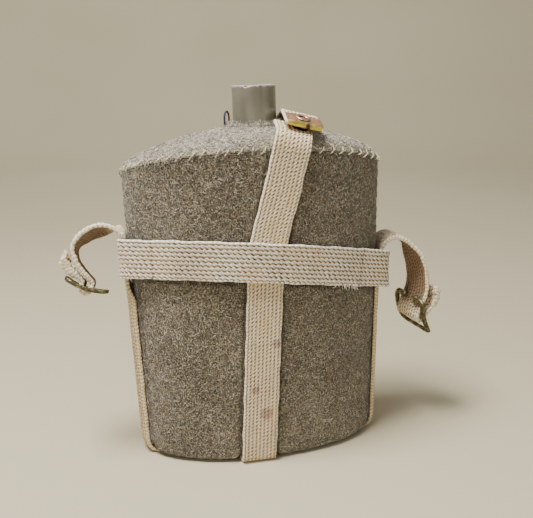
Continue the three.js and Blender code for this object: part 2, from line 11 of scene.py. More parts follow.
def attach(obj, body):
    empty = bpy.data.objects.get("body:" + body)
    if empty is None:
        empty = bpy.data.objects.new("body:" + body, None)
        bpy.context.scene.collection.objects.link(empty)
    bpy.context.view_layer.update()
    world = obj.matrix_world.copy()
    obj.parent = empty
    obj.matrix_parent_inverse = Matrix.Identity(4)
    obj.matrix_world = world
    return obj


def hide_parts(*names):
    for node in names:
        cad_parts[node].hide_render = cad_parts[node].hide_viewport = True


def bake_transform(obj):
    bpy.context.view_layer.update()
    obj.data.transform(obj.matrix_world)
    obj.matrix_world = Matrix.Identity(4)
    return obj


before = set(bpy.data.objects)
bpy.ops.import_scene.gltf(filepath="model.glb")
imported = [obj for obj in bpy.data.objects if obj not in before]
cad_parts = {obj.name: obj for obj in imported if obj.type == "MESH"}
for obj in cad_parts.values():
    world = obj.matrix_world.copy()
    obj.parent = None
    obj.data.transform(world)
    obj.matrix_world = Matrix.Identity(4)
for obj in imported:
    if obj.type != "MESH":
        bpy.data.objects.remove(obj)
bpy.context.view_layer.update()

ROOT = "bottle_and_carrier"
FLAP = "retaining_flap_body"
MM = 0.001
TURN = 2 * math.pi

# ---- sizes shared with the part -----------------------------------------------------------

HALF_WIDTH_FOOT, HALF_WIDTH_SEAM = 77.2, 80.7
FRONT_DEPTH_FOOT, FRONT_DEPTH_SEAM = 36.9, 38.6
REAR_DEPTH, REAR_POWER = 21.5, 3.0
SEAM_END_HEIGHT, SEAM_RISE, SEAM_POWER = 183.0, 13.0, 1.2
SHOULDER_ROUND, SHOULDER_SKEW = 1.78, 0.26
FELT_BOTTOM, FELT_TOP, FELT = 0.8, 209.0, 3.0
NECK_X, NECK_Y, NECK_RADIUS, NECK_WALL = 0.5, -8.5, 13.1, 1.2
NECK_FOOT, RIM_HEIGHT = 200.0, 232.0
WEB, STRAP_WIDTH, BAND_WIDTH = 2.2, 22.0, 24.0
HALF_WEB, HALF_STRAP = WEB / 2, STRAP_WIDTH / 2
BAND_HEIGHT, BAND_FALL_X, BAND_FALL_Y = 119.6, -0.111, -0.265
FOOT_LEAN, LEAN = -7.9, 0.057
FRONT_STAND = 0.4 + HALF_WEB
SIDE_STAND_TOP, SIDE_STAND_FOOT = 2.5, 1.7
STUD_CENTRE = np.array([24.3, -31.0, 211.0])
STUD_PITCH, STUD_ROLL = 0.34, 0.25
REAR_SEAM_ANGLE = 1.95
NAP_COUNT = 9400
SEAM_STITCH_PITCH, REAR_STITCH_PITCH, BASE_STITCH_PITCH = 6.9, 6.5, 7.0
PRESS_FULL, PRESS_NONE = 9.5, 12.5
SHADE_LINE_OUT = HALF_STRAP + 0.9
FOOT_RINGS, WALL_RINGS = 6, 189
WELT_RINGS, DOME_RINGS = 9, 91
STRAP_CROSSING = 128.0
CAMERA_PLACE = [-0.0729, -0.4244, 0.2339]
SIDE_POINTS = 420
TIP_FRONT, TIP_REAR = 6.3, 7.0


def mix(a, b, share):
    return a + (b - a) * share


def smooth(x, low, high):
    """Nought below low and one above high, with an S-shaped rise between them."""
    share = np.clip((x - low) / (high - low), 0, 1)
    return share * share * (3 - 2 * share)


def unit(vectors):
    """Vectors, in the last axis, at a length of one."""
    vectors = np.asarray(vectors, float)
    return vectors / (np.linalg.norm(vectors, axis=-1)[..., None] + 1e-12)


def bell(distance, width):
    return np.exp(-((distance / width) ** 2))


def run_along(line):
    """The distance from a line's first point to each of its points, along the line."""
    return np.concatenate([[0], np.cumsum(np.linalg.norm(np.diff(line, axis=0), axis=1))])


def half_width(z):
    return mix(HALF_WIDTH_FOOT, HALF_WIDTH_SEAM, z / SEAM_END_HEIGHT)


def front_depth(z):
    return mix(FRONT_DEPTH_FOOT, FRONT_DEPTH_SEAM, z / SEAM_END_HEIGHT)


def outline(angle, z, inset=0.0):
    """The bottle's plan at height z, drawn in by inset: half an ellipse in front, and behind
    it a superellipse of power 3, whose x is width * cos^(2/3) and y is depth * sin^(2/3)."""
    angle, z, inset = np.broadcast_arrays(
        np.asarray(angle, float), np.asarray(z, float), np.asarray(inset, float)
    )
    c, s = np.cos(angle), np.sin(angle)
    width = half_width(z) - inset
    power = 2 / REAR_POWER
    front = s <= 0
    x = np.where(front, width * c, width * np.sign(c) * np.abs(c) ** power)
    y = np.where(front, (front_depth(z) - inset) * s, (REAR_DEPTH - inset) * np.abs(s) ** power)
    return np.stack([x, y, z], -1)


def seam_height(angle):
    return SEAM_END_HEIGHT + SEAM_RISE * np.abs(np.sin(angle)) ** SEAM_POWER


def band_height(x, y):
    return BAND_HEIGHT + BAND_FALL_X * x + BAND_FALL_Y * y


def strap_lean(z):
    return FOOT_LEAN + LEAN * z


def upper_lean(in_front, z):
    """Where the retaining strap's middle crosses the side panel at height z."""
    up = z - STRAP_CROSSING
    return np.where(in_front, -0.9 + 0.238 * up, 0.6 + 0.32 * up)


# ---- mesh making ---------------------------------------------------------------------------


def grid_quads(rows, cols, wrap_rows=False, wrap_cols=True):
    """Corner numbers of the squares between neighbouring points of a rows by cols grid."""
    r = np.arange(rows if wrap_rows else rows - 1)
    c = np.arange(cols if wrap_cols else cols - 1)
    r, c = (a.ravel() for a in np.meshgrid(r, c, indexing="ij"))
    r2, c2 = (r + 1) % rows, (c + 1) % cols
    return np.stack([r * cols + c, r * cols + c2, r2 * cols + c2, r2 * cols + c], 1)


def volume_of(points, quads, tris):
    """Six times the enclosed volume: the sum over triangles of a . (b x c)."""
    parts = [tris] + ([quads[:, [0, 1, 2]], quads[:, [0, 2, 3]]] if len(quads) else [])
    every = np.concatenate(parts)
    a, b, c = (points[every[:, k]] for k in range(3))
    return float((a * np.cross(b, c)).sum())


def make_piece(name, points, quads, tris=None, values=None, closed=True):
    """A mesh object from whole arrays, in metres. A closed shape that is inside out is turned.
    values maps an attribute's name to one number or one vector for each point."""
    tris = np.zeros((0, 3), int) if tris is None else tris
    quads = np.zeros((0, 4), int) if quads is None else quads
    if closed and volume_of(points, quads, tris) < 0:
        quads, tris = quads[:, ::-1], tris[:, ::-1]
    mesh = bpy.data.meshes.new(name)
    mesh.vertices.add(len(points))
    mesh.vertices.foreach_set("co", (points * MM).astype(np.float32).ravel())
    corners = np.concatenate([quads.ravel(), tris.ravel()])
    totals = np.concatenate([np.full(len(quads), 4), np.full(len(tris), 3)])
    mesh.loops.add(len(corners))
    mesh.loops.foreach_set("vertex_index", corners.astype(np.int32))
    mesh.polygons.add(len(totals))
    starts = np.concatenate([[0], np.cumsum(totals)[:-1]])
    mesh.polygons.foreach_set("loop_start", starts.astype(np.int32))
    mesh.polygons.foreach_set("use_smooth", np.ones(len(totals), bool))
    mesh.update(calc_edges=True)
    for key, value in (values or {}).items():
        kind, field = ("FLOAT", "value") if value.ndim == 1 else ("FLOAT_VECTOR", "vector")
        layer = mesh.attributes.new(key, kind, "POINT")
        layer.data.foreach_set(field, value.astype(np.float32).ravel())
    piece = bpy.data.objects.new(name, mesh)
    bpy.context.scene.collection.objects.link(piece)
    return piece


def dress(piece, body, material, slot, *nodes):
    """Gives a finished piece its material and its body, and hides the solids it stands for. slot
    is not used.
    """
    piece.data.materials.clear()
    piece.data.materials.append(material)
    if body:
        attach(piece, body)
    if nodes:
        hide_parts(*nodes)
    return piece


def capped(grid):
    """Squares and end triangles of a closed tube: rings of points in rows, with one added
    point in the middle of each end ring."""
    rows, cols = grid.shape[:2]
    points = np.concatenate([grid.reshape(-1, 3), grid[:1].mean(1), grid[-1:].mean(1)])
    ring = np.arange(cols)
    after = (ring + 1) % cols
    first = np.stack([np.full(cols, rows * cols), after, ring], 1)
    base = (rows - 1) * cols
    last = np.stack([np.full(cols, rows * cols + 1), base + ring, base + after], 1)
    return points, grid_quads(rows, cols), np.concatenate([first, last])


# ---- routes and sweeps ---------------------------------------------------------------------


def curve_through(points, per=24):
    """Centripetal Catmull-Rom curve through the points: between two points it is a cubic whose
    end slopes come from the neighbours, spaced by the square root of their distances. Returns
    the curve's points and, for each, its place counted in points."""
    p = np.asarray(points, float)
    p = np.concatenate([[2 * p[0] - p[1]], p, [2 * p[-1] - p[-2]]])
    gap = np.sqrt(np.linalg.norm(np.diff(p, axis=0), axis=1))[:, None]
    x0, x1, x2, x3 = p[:-3], p[1:-2], p[2:-1], p[3:]
    d0, d1, d2 = gap[:-2], gap[1:-1], gap[2:]
    t1 = ((x1 - x0) / d0 - (x2 - x0) / (d0 + d1) + (x2 - x1) / d1) * d1
    t2 = ((x2 - x1) / d1 - (x3 - x1) / (d1 + d2) + (x3 - x2) / d2) * d1
    u = (np.arange(per) / per)[None, :, None]
    body = (
        x1[:, None]
        + t1[:, None] * u
        + (-3 * x1 + 3 * x2 - 2 * t1 - t2)[:, None] * u**2
        + (2 * x1 - 2 * x2 + t1 + t2)[:, None] * u**3
    )
    curve = np.concatenate([body.reshape(-1, 3), p[-2:-1]])
    return curve, np.arange(len(curve)) / per


def even_frames(curve, place, across, spacing):
    """Stations at an even spacing along a curve, each with its distance from the start, its
    point, its width direction square to the curve, and its face direction."""
    run = run_along(curve)
    s = np.linspace(0, run[-1], max(3, int(run[-1] / spacing) + 1))
    centre = np.stack([np.interp(s, run, curve[:, k]) for k in range(3)], 1)
    across = np.asarray(across, float)
    if across.ndim == 1:
        side = np.tile(across, (len(s), 1))
    else:
        at = np.interp(s, run, place)
        side = np.stack([np.interp(at, np.arange(len(across)), across[:, k]) for k in range(3)], 1)
    along = unit(np.gradient(centre, s, axis=0))
    side = unit(side - (side * along).sum(1)[:, None] * along)
    return s, centre, side, np.cross(along, side)


def quadratic(start, corner, end, count=9):
    """Points on the curve that leaves start towards corner and reaches end from it."""
    u = np.linspace(0, 1, count)[:, None]
    start, corner, end = (np.asarray(p, float) for p in (start, corner, end))
    return start * (1 - u) ** 2 + 2 * corner * u * (1 - u) + end * u**2


def ring_sweep(frames, section, scale=None):
    """Carries a closed section, as [across, out] pairs, along the stations of a route."""
    _, centre, side, face = frames
    scale = np.ones(len(centre)) if scale is None else scale
    section = np.asarray(section, float)
    a = section[None, :, 0, None] * scale[:, None, None]
    b = section[None, :, 1, None] * scale[:, None, None]
    return centre[:, None] + side[:, None] * a + face[:, None] * b


def rounded_section(width, thick, count=24, power=4.0):
    """A superellipse: x is width/2 * sign(cos) * |cos|^(2/power), and y the same with sine."""
    angle = TURN * np.arange(count) / count
    c, s = np.cos(angle), np.sin(angle)
    e = 2 / power
    x = np.sign(c) * np.abs(c) ** e * width / 2
    return np.stack([x, np.sign(s) * np.abs(s) ** e * thick / 2], 1)


# ---- webbing -------------------------------------------------------------------------------

EDGE = 1.5


def weave_height(s, t, width, rib, stitch, stagger, depth, seed):
    """The weave's relief, 1 on the yarns and 0 in the pits between them, at s along and t
    across. Pits lie on the lines between ribs as a bell curve of the distance to the line,
    pulsing along it as a raised cosine. Each line's pulses are moved on by stagger from the
    last line's, and the line itself waves. A groove runs inside each rolled edge."""
    inner = width - 2 * EDGE
    count = max(1, round(inner / rib))
    r = (t + inner / 2) / inner * count
    k = np.clip(np.round(r), 0, count)
    drift = 0.10 * np.sin(s / 7.3 + 2.1 * k + seed) + 0.08 * np.sin(s / 2.9 + 1.3 * k + 2 * seed)
    phase = TURN * (s / stitch + stagger * k + drift)
    off = r - k + 0.2 * np.sin(phase + 0.8)
    pulse = 0.5 + 0.5 * np.cos(phase)
    outer = (k == 0) | (k == count)
    base = np.where(outer, 0.5, depth)
    wide = np.where(outer, 0.2, 0.27)
    pits = bell(off, wide) * (base + (1 - base) * pulse)
    yarn = 0.5 + 0.5 * np.cos(TURN * (s / stitch + stagger * r + 0.5 * np.abs(r - k)) + 2.4)
    inside = 1 - pits - 0.38 * yarn * (1 - pits)
    knots = 0.5 + 0.5 * np.cos(TURN * (s / stitch + 0.2 * np.sin(s / 5 + seed)))
    edge = 0.95 - 0.4 * knots
    return np.where(np.abs(t) < inner / 2 + 0.25, np.clip(inside, 0, 1), edge)


def webbing(name, frames, width, seed, rib=2.4, stitch=2.4, stagger=0.36, depth=0.2, puff=None,
            seams=(), marks=(), shaded_face=0):
    """A flat woven strip: at each station the section runs from edge to edge over the face and
    back under it, its half thickness falling to nothing at the edges as an eighth-power curve,
    with the weave's height added on both faces. puff thickens it by a share at each station,
    unevenly, seams are places along it with a row of stitches from edge to edge, and marks are
    stains given as a place along, a place across and a size. The last argument picks the face,
    1 or -1, that is browned away from both ends as painted shade, standing for the shadow on a
    tab's inner face."""
    s, centre, side, face = frames
    t = np.linspace(-1, 1, int(width / 0.42))
    t = np.concatenate([[-1, -0.992, -0.975], t[1:-1], [0.975, 0.992, 1]]) * width / 2
    grow = np.ones(len(s)) if puff is None else puff
    ss, tt = np.meshgrid(s, t, indexing="ij")
    relief = weave_height(ss, tt, width, rib, stitch, stagger, depth, seed)
    under = weave_height(ss + 0.5 * stitch, -tt, width, rib, stitch, stagger, depth, seed + 4)
    for seam in seams:
        row = bell(ss - seam, 0.5) * (0.55 + 0.45 * np.cos(TURN * tt / 2.7))
        relief = relief * (1 - 0.6 * row)
    half = 0.82 * (1 - np.abs(2 * tt / width) ** 8) ** 0.4 * grow[:, None]
    half = half + 0.3 * bell(np.abs(tt) - width / 2 + 0.95, 0.5)
    fade = np.clip((width / 2 - np.abs(tt)) / 0.35, 0, 1)
    wander = 0.18 * np.sin(ss / 4.1 + seed) + 0.12 * np.sin(ss / 1.9 + 2 * seed)
    place = tt + wander * np.sign(tt) * smooth(np.abs(tt), width / 2 - 2, width / 2)
    flat = centre[:, None] + side[:, None] * place[..., None]
    rough = (grow[:, None] - 1) * 0.55 * lumps(flat, 1.5, int(seed) + 40) * fade
    top = flat + face[:, None] * (half + 0.5 * relief * fade + rough)[..., None]
    low = flat - face[:, None] * (half + 0.5 * under * fade + rough)[..., None]
    grid = np.concatenate([top, low[:, -2:0:-1]], 1)
    cloth = np.concatenate(
        [np.stack([ss, tt, relief], -1), np.stack([ss, tt, under], -1)[:, -2:0:-1]], 1
    )
    points, quads, tris = capped(grid)
    cloth_at = np.concatenate([cloth.reshape(-1, 3), [[s[0], 0, 0.5], [s[-1], 0, 0.5]]])
    stain = np.zeros(len(cloth_at))
    for at, aside, size in marks:
        away = np.hypot(cloth_at[:, 0] - at, cloth_at[:, 1] - aside)
        stain = np.maximum(stain, bell(away, size))
    run = smooth(s, 20, 30) * (1 - smooth(s, s[-1] - 42, s[-1] - 30))
    inner = np.zeros(grid.shape[:2])
    # Painted shade: the chosen face of a tab is browned where it lies in shadow.
    if shaded_face:
        flat_part = np.clip((0.46 - np.abs(tt / width)) / 0.05, 0, 1) * run[:, None]
        first, second = (flat_part, 0 * flat_part) if shaded_face > 0 else (0 * flat_part, flat_part)
        inner = np.concatenate([first, second[:, -2:0:-1]], 1)
    soiled = np.concatenate([inner.ravel(), [0, 0]])
    values = {"cloth": cloth_at, "stain": stain, "soiled": soiled}
    return make_piece(name, points, quads, tris, values)


def strap_frames(points, across, spacing=0.5):
    curve, place = curve_through(points)
    return even_frames(curve, place, across, spacing)


# ---- shader nodes --------------------------------------------------------------------------


class Value:
    """A node output that can be used in sums: each sign adds the Math node that does it."""

    def __init__(self, tree, socket):
        self.tree, self.socket = tree, socket

    def maths(self, operation, *others):
        made = self.tree.node("ShaderNodeMath", {"operation": operation}, [self, *others])
        return made.out(0)

    def __add__(self, other):
        return self.maths("ADD", other)

    def __mul__(self, other):
        return self.maths("MULTIPLY", other)

    def __sub__(self, other):
        return self.maths("SUBTRACT", other)

    def __rsub__(self, other):
        return self.tree.number("SUBTRACT", other, self)

    __radd__ = __add__
    __rmul__ = __mul__

    def step(self, low, high):
        """Nought at low, one at high and smooth between."""
        settings = {"interpolation_type": "SMOOTHSTEP"}
        return self.tree.node("ShaderNodeMapRange", settings, [self, low, high, 0.0, 1.0]).out(0)

    def largest(self, other):
        return self.maths("MAXIMUM", other)


class Made:
    def __init__(self, tree, node):
        self.tree, self.node = tree, node

    def out(self, key):
        return Value(self.tree, self.node.outputs[key])


class Material:
    """One material's node tree, with a Principled surface."""

    def __init__(self, name, **constants):
        self.material = bpy.data.materials.new(name)
        self.material.use_nodes = True
        self.tree = self.material.node_tree
        self.surface = self.tree.nodes["Principled BSDF"]
        for key, value in constants.items():
            self.surface.inputs[key.replace("_", " ")].default_value = value
        self.place = self.node("ShaderNodeTexCoord").out("Object")

    def node(self, kind, settings=None, values=()):
        """Adds a node of a kind, applies its settings, then fills its sockets with numbers,
        colours or other nodes' outputs. values is a list in socket order, or a dictionary."""
        made = self.tree.nodes.new(kind)
        for key, value in (settings or {}).items():
            if key == "stops":
                self.fill_ramp(made.color_ramp, value)
            else:
                setattr(made, key, value)
        pairs = values.items() if isinstance(values, dict) else enumerate(values)
        for key, value in pairs:
            if value is not None:
                self.feed(made.inputs[key], value)
        return Made(self, made)

    def feed(self, socket, value):
        if isinstance(value, Value):
            self.tree.links.new(value.socket, socket)
        else:
            socket.default_value = value

    def fill_ramp(self, ramp, stops):
        """Sets a colour ramp's stops, given as places and colours from low to high."""
        ramp.elements.remove(ramp.elements[1])
        for place, colour in stops[1:]:
            ramp.elements.new(place).color = (*colour, 1.0)
        ramp.elements[0].position, ramp.elements[0].color = stops[0][0], (*stops[0][1], 1.0)

    def number(self, operation, *values):
        return self.node("ShaderNodeMath", {"operation": operation}, list(values)).out(0)

    def noise(self, scale, detail, roughness, where=None):
        """Noise about one half, with features about 1/scale metres across."""
        values = {
            "Vector": where or self.place,
            "Scale": scale,
            "Detail": detail,
            "Roughness": roughness,
        }
        return self.node("ShaderNodeTexNoise", {"noise_dimensions": "3D"}, values).out("Fac")

    def stretched(self, scale, turn=(0, 0, 0)):
        """The place turned and scaled unevenly, for patterns that run one way."""
        values = {"Vector": self.place, "Rotation": turn, "Scale": scale}
        return self.node("ShaderNodeMapping", {}, values).out(0)

    def ramp(self, value, *stops):
        """A colour that follows value through stops, each a place and a screen colour."""
        stops = [(place, linear(*colour)) for place, colour in stops]
        return self.node("ShaderNodeValToRGB", {"stops": stops}, [value]).out("Color")

    def blend(self, share, low, high, kind="MIX"):
        """A colour that goes from low to high by share: outputs, or screen colours."""
        settings = {"data_type": "RGBA", "blend_type": kind, "clamp_factor": True}
        low, high = (c if isinstance(c, Value) else (*linear(*c), 1.0) for c in (low, high))
        made = self.node("ShaderNodeMix", settings, {0: share, 6: low, 7: high})
        return made.out(2)

    def read(self, name, part="Fac"):
        settings = {"attribute_type": "GEOMETRY", "attribute_name": name}
        return self.node("ShaderNodeAttribute", settings).out(part)

    def split(self, vector):
        made = self.node("ShaderNodeSeparateXYZ", {}, [vector])
        return [made.out(k) for k in range(3)]

    def bump(self, height, distance, strength):
        values = {"Height": height, "Distance": distance, "Strength": strength}
        return self.node("ShaderNodeBump", {}, values).out(0)

    def finish(self, **links):
        for key, value in links.items():
            self.feed(self.surface.inputs[key.replace("_", " ")], value)
        return self.material


def linear(red, green, blue):
    """A colour given as seen on a screen, 0 to 255, as the linear numbers a shader takes."""
    return tuple(
        c / 12.92 if c <= 0.04045 else ((c + 0.055) / 1.055) ** 2.4
        for c in (red / 255, green / 255, blue / 255)
    )


# ---- materials -----------------------------------------------------------------------------


def felt_material(name, lift):
    """Coarse heathered wool: three layers of short crossed fibres over a mottled ground, with
    ochre, pale and blue-grey flecks. lift lightens the whole; on the top panel it stands partly
    for paler, frayed fibres and partly for painted light from above."""
    m = Material(name, Roughness=0.95, Sheen_Weight=0.25, Sheen_Roughness=0.5)
    fibres = m.noise(1.0, 3, 0.65, m.stretched((2300, 2300, 640), (0.5, 0.2, 0.4)))
    across = m.noise(1.0, 3, 0.65, m.stretched((700, 2200, 2200), (0.3, -0.6, 0.2)))
    third = m.noise(1.0, 2, 0.6, m.stretched((2000, 600, 1400), (-0.7, 0.4, 0.9)))
    grain = m.noise(1150, 4, 0.75)
    broad = m.noise(26, 3, 0.5)
    height = (fibres + across) * 0.3 + third * 0.2 + grain * 0.4 - 0.1
    ground = m.ramp(
        height + (broad - 0.5) * 0.06,
        (0.42, (18, 15, 11)),
        (0.478, tuple(c + lift for c in (84, 76, 61))),
        (0.528, tuple(c + lift for c in (130, 120, 101))),
        (0.59, tuple(min(c + lift, 245) for c in (216, 205, 182))),
    )
    ochre = m.noise(620, 2, 0.5, m.stretched((1, 1, 0.45), (0.4, 0.3, 0)))
    colour = m.blend(ochre.step(0.60, 0.70) * 0.5, ground, (140 + lift, 112 + lift, 62))
    blue = m.noise(560, 2, 0.5, m.stretched((0.5, 1, 1), (0.2, 0.8, 0.4)))
    colour = m.blend(blue.step(0.62, 0.72) * 0.45, colour, (104 + lift, 108 + lift, 118))
    # Painted shade: the shade attribute darkens the felt in lines by the webbing, under the band
    # and under the rim.
    colour = m.blend(m.read("shade") * 0.75, colour, (112, 104, 94), "MULTIPLY")
    normal = m.bump(height, 0.0014, 1.0)
    return m.finish(Base_Color=colour, Normal=normal)


def fibre_material():
    """Loose wool fibres, each with its own tone from brown through khaki to pale."""
    m = Material("wool_fibres", Roughness=0.85, Sheen_Weight=0.2)
    colour = m.ramp(
        m.read("tone"),
        (0.0, (30, 25, 16)),
        (0.35, (84, 75, 56)),
        (0.5, (146, 124, 84)),
        (0.62, (108, 112, 122)),
        (0.8, (190, 180, 158)),
        (1.0, (242, 236, 220)),
    )
    return m.finish(Base_Color=colour)


def webbing_material(name, pit, dark, pale, light):
    """Cotton webbing: brown in the pits and cream on the yarns, by the weave's own height, so
    that the pits carry painted shade, with fine yarn strands, handling stains and a greyer
    bloom in places, and painted shade on the tabs' inner faces."""
    m = Material(name, Roughness=0.9, Sheen_Weight=0.1)
    _, _, relief = m.split(m.read("cloth", "Vector"))
    strand = m.noise(1.0, 2, 0.6, m.stretched((1300, 1300, 2600), (0.6, 0.3, 0.2)))
    soil = m.noise(48, 4, 0.6)
    broad = m.noise(15, 2, 0.5)
    height = relief + (strand - 0.5) * 1.0
    # The weave's height picks the colour: the brown of the pits is painted shade.
    colour = m.ramp(
        height + (soil - 0.5) * 0.3,
        (0.10, pit),
        (0.36, dark),
        (0.60, pale),
        (0.86, light),
    )
    bloom = broad.step(0.54, 0.68) * 0.5
    colour = m.blend(bloom, colour, (214, 202, 202), "MULTIPLY")
    ochre = soil.step(0.5, 0.64) * 0.4
    colour = m.blend(ochre, colour, (240, 218, 178), "MULTIPLY")
    mark = (m.read("stain") + (soil - 0.5) * 0.6).step(0.25, 0.6) * 0.75
    colour = m.blend(mark, colour, (186, 168, 186), "MULTIPLY")
    # Painted shade: a tab's inner face browned as if in shadow.
    colour = m.blend(m.read("soiled") * 0.9, colour, (136, 112, 92), "MULTIPLY")
    normal = m.bump(height, 0.0008, 0.8)
    return m.finish(Base_Color=colour, Normal=normal)


def thread_material(name, dark, pale):
    m = Material(name, Roughness=0.75, Sheen_Weight=0.1)
    twist = m.noise(1.0, 2, 0.5, m.stretched((1600, 1600, 900), (0.5, 0.5, 0)))
    colour = m.ramp(twist, (0.35, dark), (0.65, pale))
    return m.finish(Base_Color=colour, Normal=m.bump(twist, 0.0003, 0.6))


def enamel_material():
    """Olive-grey stoved enamel, slightly streaked downwards, with worn and chipped rim."""
    m = Material("olive_enamel", Coat_Weight=0.5, Coat_Roughness=0.18)
    streak = m.noise(1.0, 3, 0.6, m.stretched((260, 260, 26)))
    cloud = m.noise(60, 3, 0.5)
    speck = m.noise(900, 2, 0.5)
    colour = m.ramp(
        streak * 0.3 + cloud * 0.7,
        (0.35, (106, 103, 90)),
        (0.55, (122, 119, 105)),
        (0.75, (140, 136, 120)),
    )
    _, _, z = m.split(m.place)
    high = z.step(0.2300, 0.2317)
    chip = m.noise(330, 3, 0.6)
    worn = high * (chip + high * 0.16).step(0.55, 0.6)
    colour = m.blend(worn * 0.8, colour, (186, 182, 186))
    bare = m.read("chip")
    colour = m.blend(bare.step(0.3, 0.45), colour, (226, 222, 218))
    colour = m.blend(bare.step(0.55, 0.65), colour, (46, 42, 48))
    rough = 0.32 + (cloud - 0.5) * 0.2 + speck * 0.06
    normal = m.bump(speck + cloud * 2 - bare * 2, 0.0002, 0.4)
    return m.finish(Base_Color=colour, Roughness=rough, Normal=normal)


def brass_material(name, bright, tarnish, dark, amount, worn):
    """Aged brass: a bright metal under clouds of tarnish and dark spots, polished to the worn
    colour where the piece's tone is high and dark where its darkening mark is: along the strap
    tip's ends and sides and near its nose, and, as painted shade, in the snap's holes and round
    the feet of its rings."""
    m = Material(name)
    cloud = m.noise(260, 4, 0.65)
    spots = m.noise(620, 3, 0.6)
    scratch = m.noise(1.0, 2, 0.5, m.stretched((300, 2600, 2600), (0, 0, 0.5)))
    share = (cloud + (spots - 0.5) * 0.3).step(0.5 - amount, 0.66 - amount)
    colour = m.blend(share, bright, tarnish)
    colour = m.blend(m.read("tone") * (1 - share * 0.25), colour, worn)
    rim = (cloud - 0.5).maths("ABSOLUTE").step(0.022, 0.008) * 0.5
    spoiled = (m.read("stain") * 1.4).largest(spots.step(0.6, 0.7) * 0.6).largest(rim)
    colour = m.blend(spoiled, colour, dark)
    rough = 0.33 + share * 0.2 + (scratch - 0.5) * 0.15
    normal = m.bump(scratch + spots * 0.8 + cloud * 1.5, 0.0004, 0.4)
    metal = 0.95 - share * 0.3
    return m.finish(Base_Color=colour, Roughness=rough, Metallic=metal, Normal=normal)


def wire_material():
    m = Material("painted_wire", Roughness=0.55)
    _, y, _ = m.split(m.place)
    rust = (m.noise(500, 3, 0.6) + (y + 0.0085) * 90).step(0.42, 0.6)
    colour = m.blend(rust, (38, 40, 60), (122, 72, 56))
    return m.finish(Base_Color=colour, Normal=m.bump(rust, 0.0002, 0.4))


def floor_material():
    m = Material("studio_paper", Roughness=0.9)
    cloud = m.noise(1.3, 2, 0.5)
    colour = m.ramp(cloud, (0.3, (191, 181, 154)), (0.7, (197, 188, 162)))
    return m.finish(Base_Color=colour)


felt_side = felt_material("felt_side", 0)
# The top panel's felt is a lighter copy of the side's: partly paler frayed fibres, partly painted
# light from above.
felt_top = felt_material("felt_top", 46)
wool = fibre_material()
band_cloth = webbing_material(
    "webbing_band", (48, 34, 25), (156, 134, 108), (230, 215, 192), (254, 250, 240)
)
strap_cloth = webbing_material(
    "webbing_strap", (48, 32, 20), (162, 134, 97), (228, 207, 170), (254, 246, 226)
)
# A darker, tanner copy of the strap webbing for the side straps: partly their own tan, partly
# painted shade for their shadowed place at the sides.
side_cloth = webbing_material(
    "webbing_side", (50, 34, 20), (138, 110, 74), (204, 178, 136), (240, 222, 188)
)
thread = thread_material("waxed_thread", (150, 138, 108), (226, 216, 190))
fray = thread_material("frayed_cotton", (214, 202, 180), (252, 248, 240))
enamel = enamel_material()
tip_brass = brass_material(
    "brass_tip", (226, 190, 150), (196, 132, 104), (84, 56, 62), 0.05, (222, 206, 90)
)
ring_brass = brass_material(
    "brass_ring", (226, 196, 160), (186, 130, 100), (70, 50, 48), 0.0, (222, 206, 120)
)
stud_brass = brass_material(
    "brass_stud", (66, 56, 42), (44, 36, 30), (24, 20, 20), 0.12, (90, 76, 50)
)
buckle_brass = brass_material(
    "brass_buckle", (150, 142, 104), (84, 78, 54), (34, 30, 20), 0.12, (160, 150, 110)
)
wire = wire_material()


# ---- the camera and the stage --------------------------------------------------------------


def place_camera():
    yaw, pitch, roll = 0.1867, 0.2524, -0.0257
    forward = np.array(
        [math.sin(yaw) * math.cos(pitch), math.cos(yaw) * math.cos(pitch), -math.sin(pitch)]
    )
    level = np.array([math.cos(yaw), -math.sin(yaw), 0])
    upright = np.cross(level, forward)
    right = level * math.cos(roll) + upright * math.sin(roll)
    up = upright * math.cos(roll) - level * math.sin(roll)
    data = bpy.data.cameras.new("camera")
    data.lens, data.sensor_width = 46.54, 36
    camera = bpy.data.objects.new("camera", data)
    place = np.eye(4)
    place[:3, 0], place[:3, 1], place[:3, 2] = right, up, -forward
    place[:3, 3] = CAMERA_PLACE
    camera.matrix_world = Matrix(place.tolist())
    bpy.context.scene.collection.objects.link(camera)
    bpy.context.scene.camera = camera


def area_light(name, where, aim, size, power, colour=(1, 1, 1)):
    data = bpy.data.lights.new(name, "AREA")
    data.shape, data.size, data.energy, data.color = "SQUARE", size, power, colour
    light = bpy.data.objects.new(name, data)
    back = unit(np.subtract(where, aim))
    side = unit(np.cross([0.0, 1.0, 0.0], back))
    place = np.eye(4)
    place[:3, 0], place[:3, 1], place[:3, 2] = side, np.cross(back, side), back
    place[:3, 3] = where
    light.matrix_world = Matrix(place.tolist())
    bpy.context.scene.collection.objects.link(light)


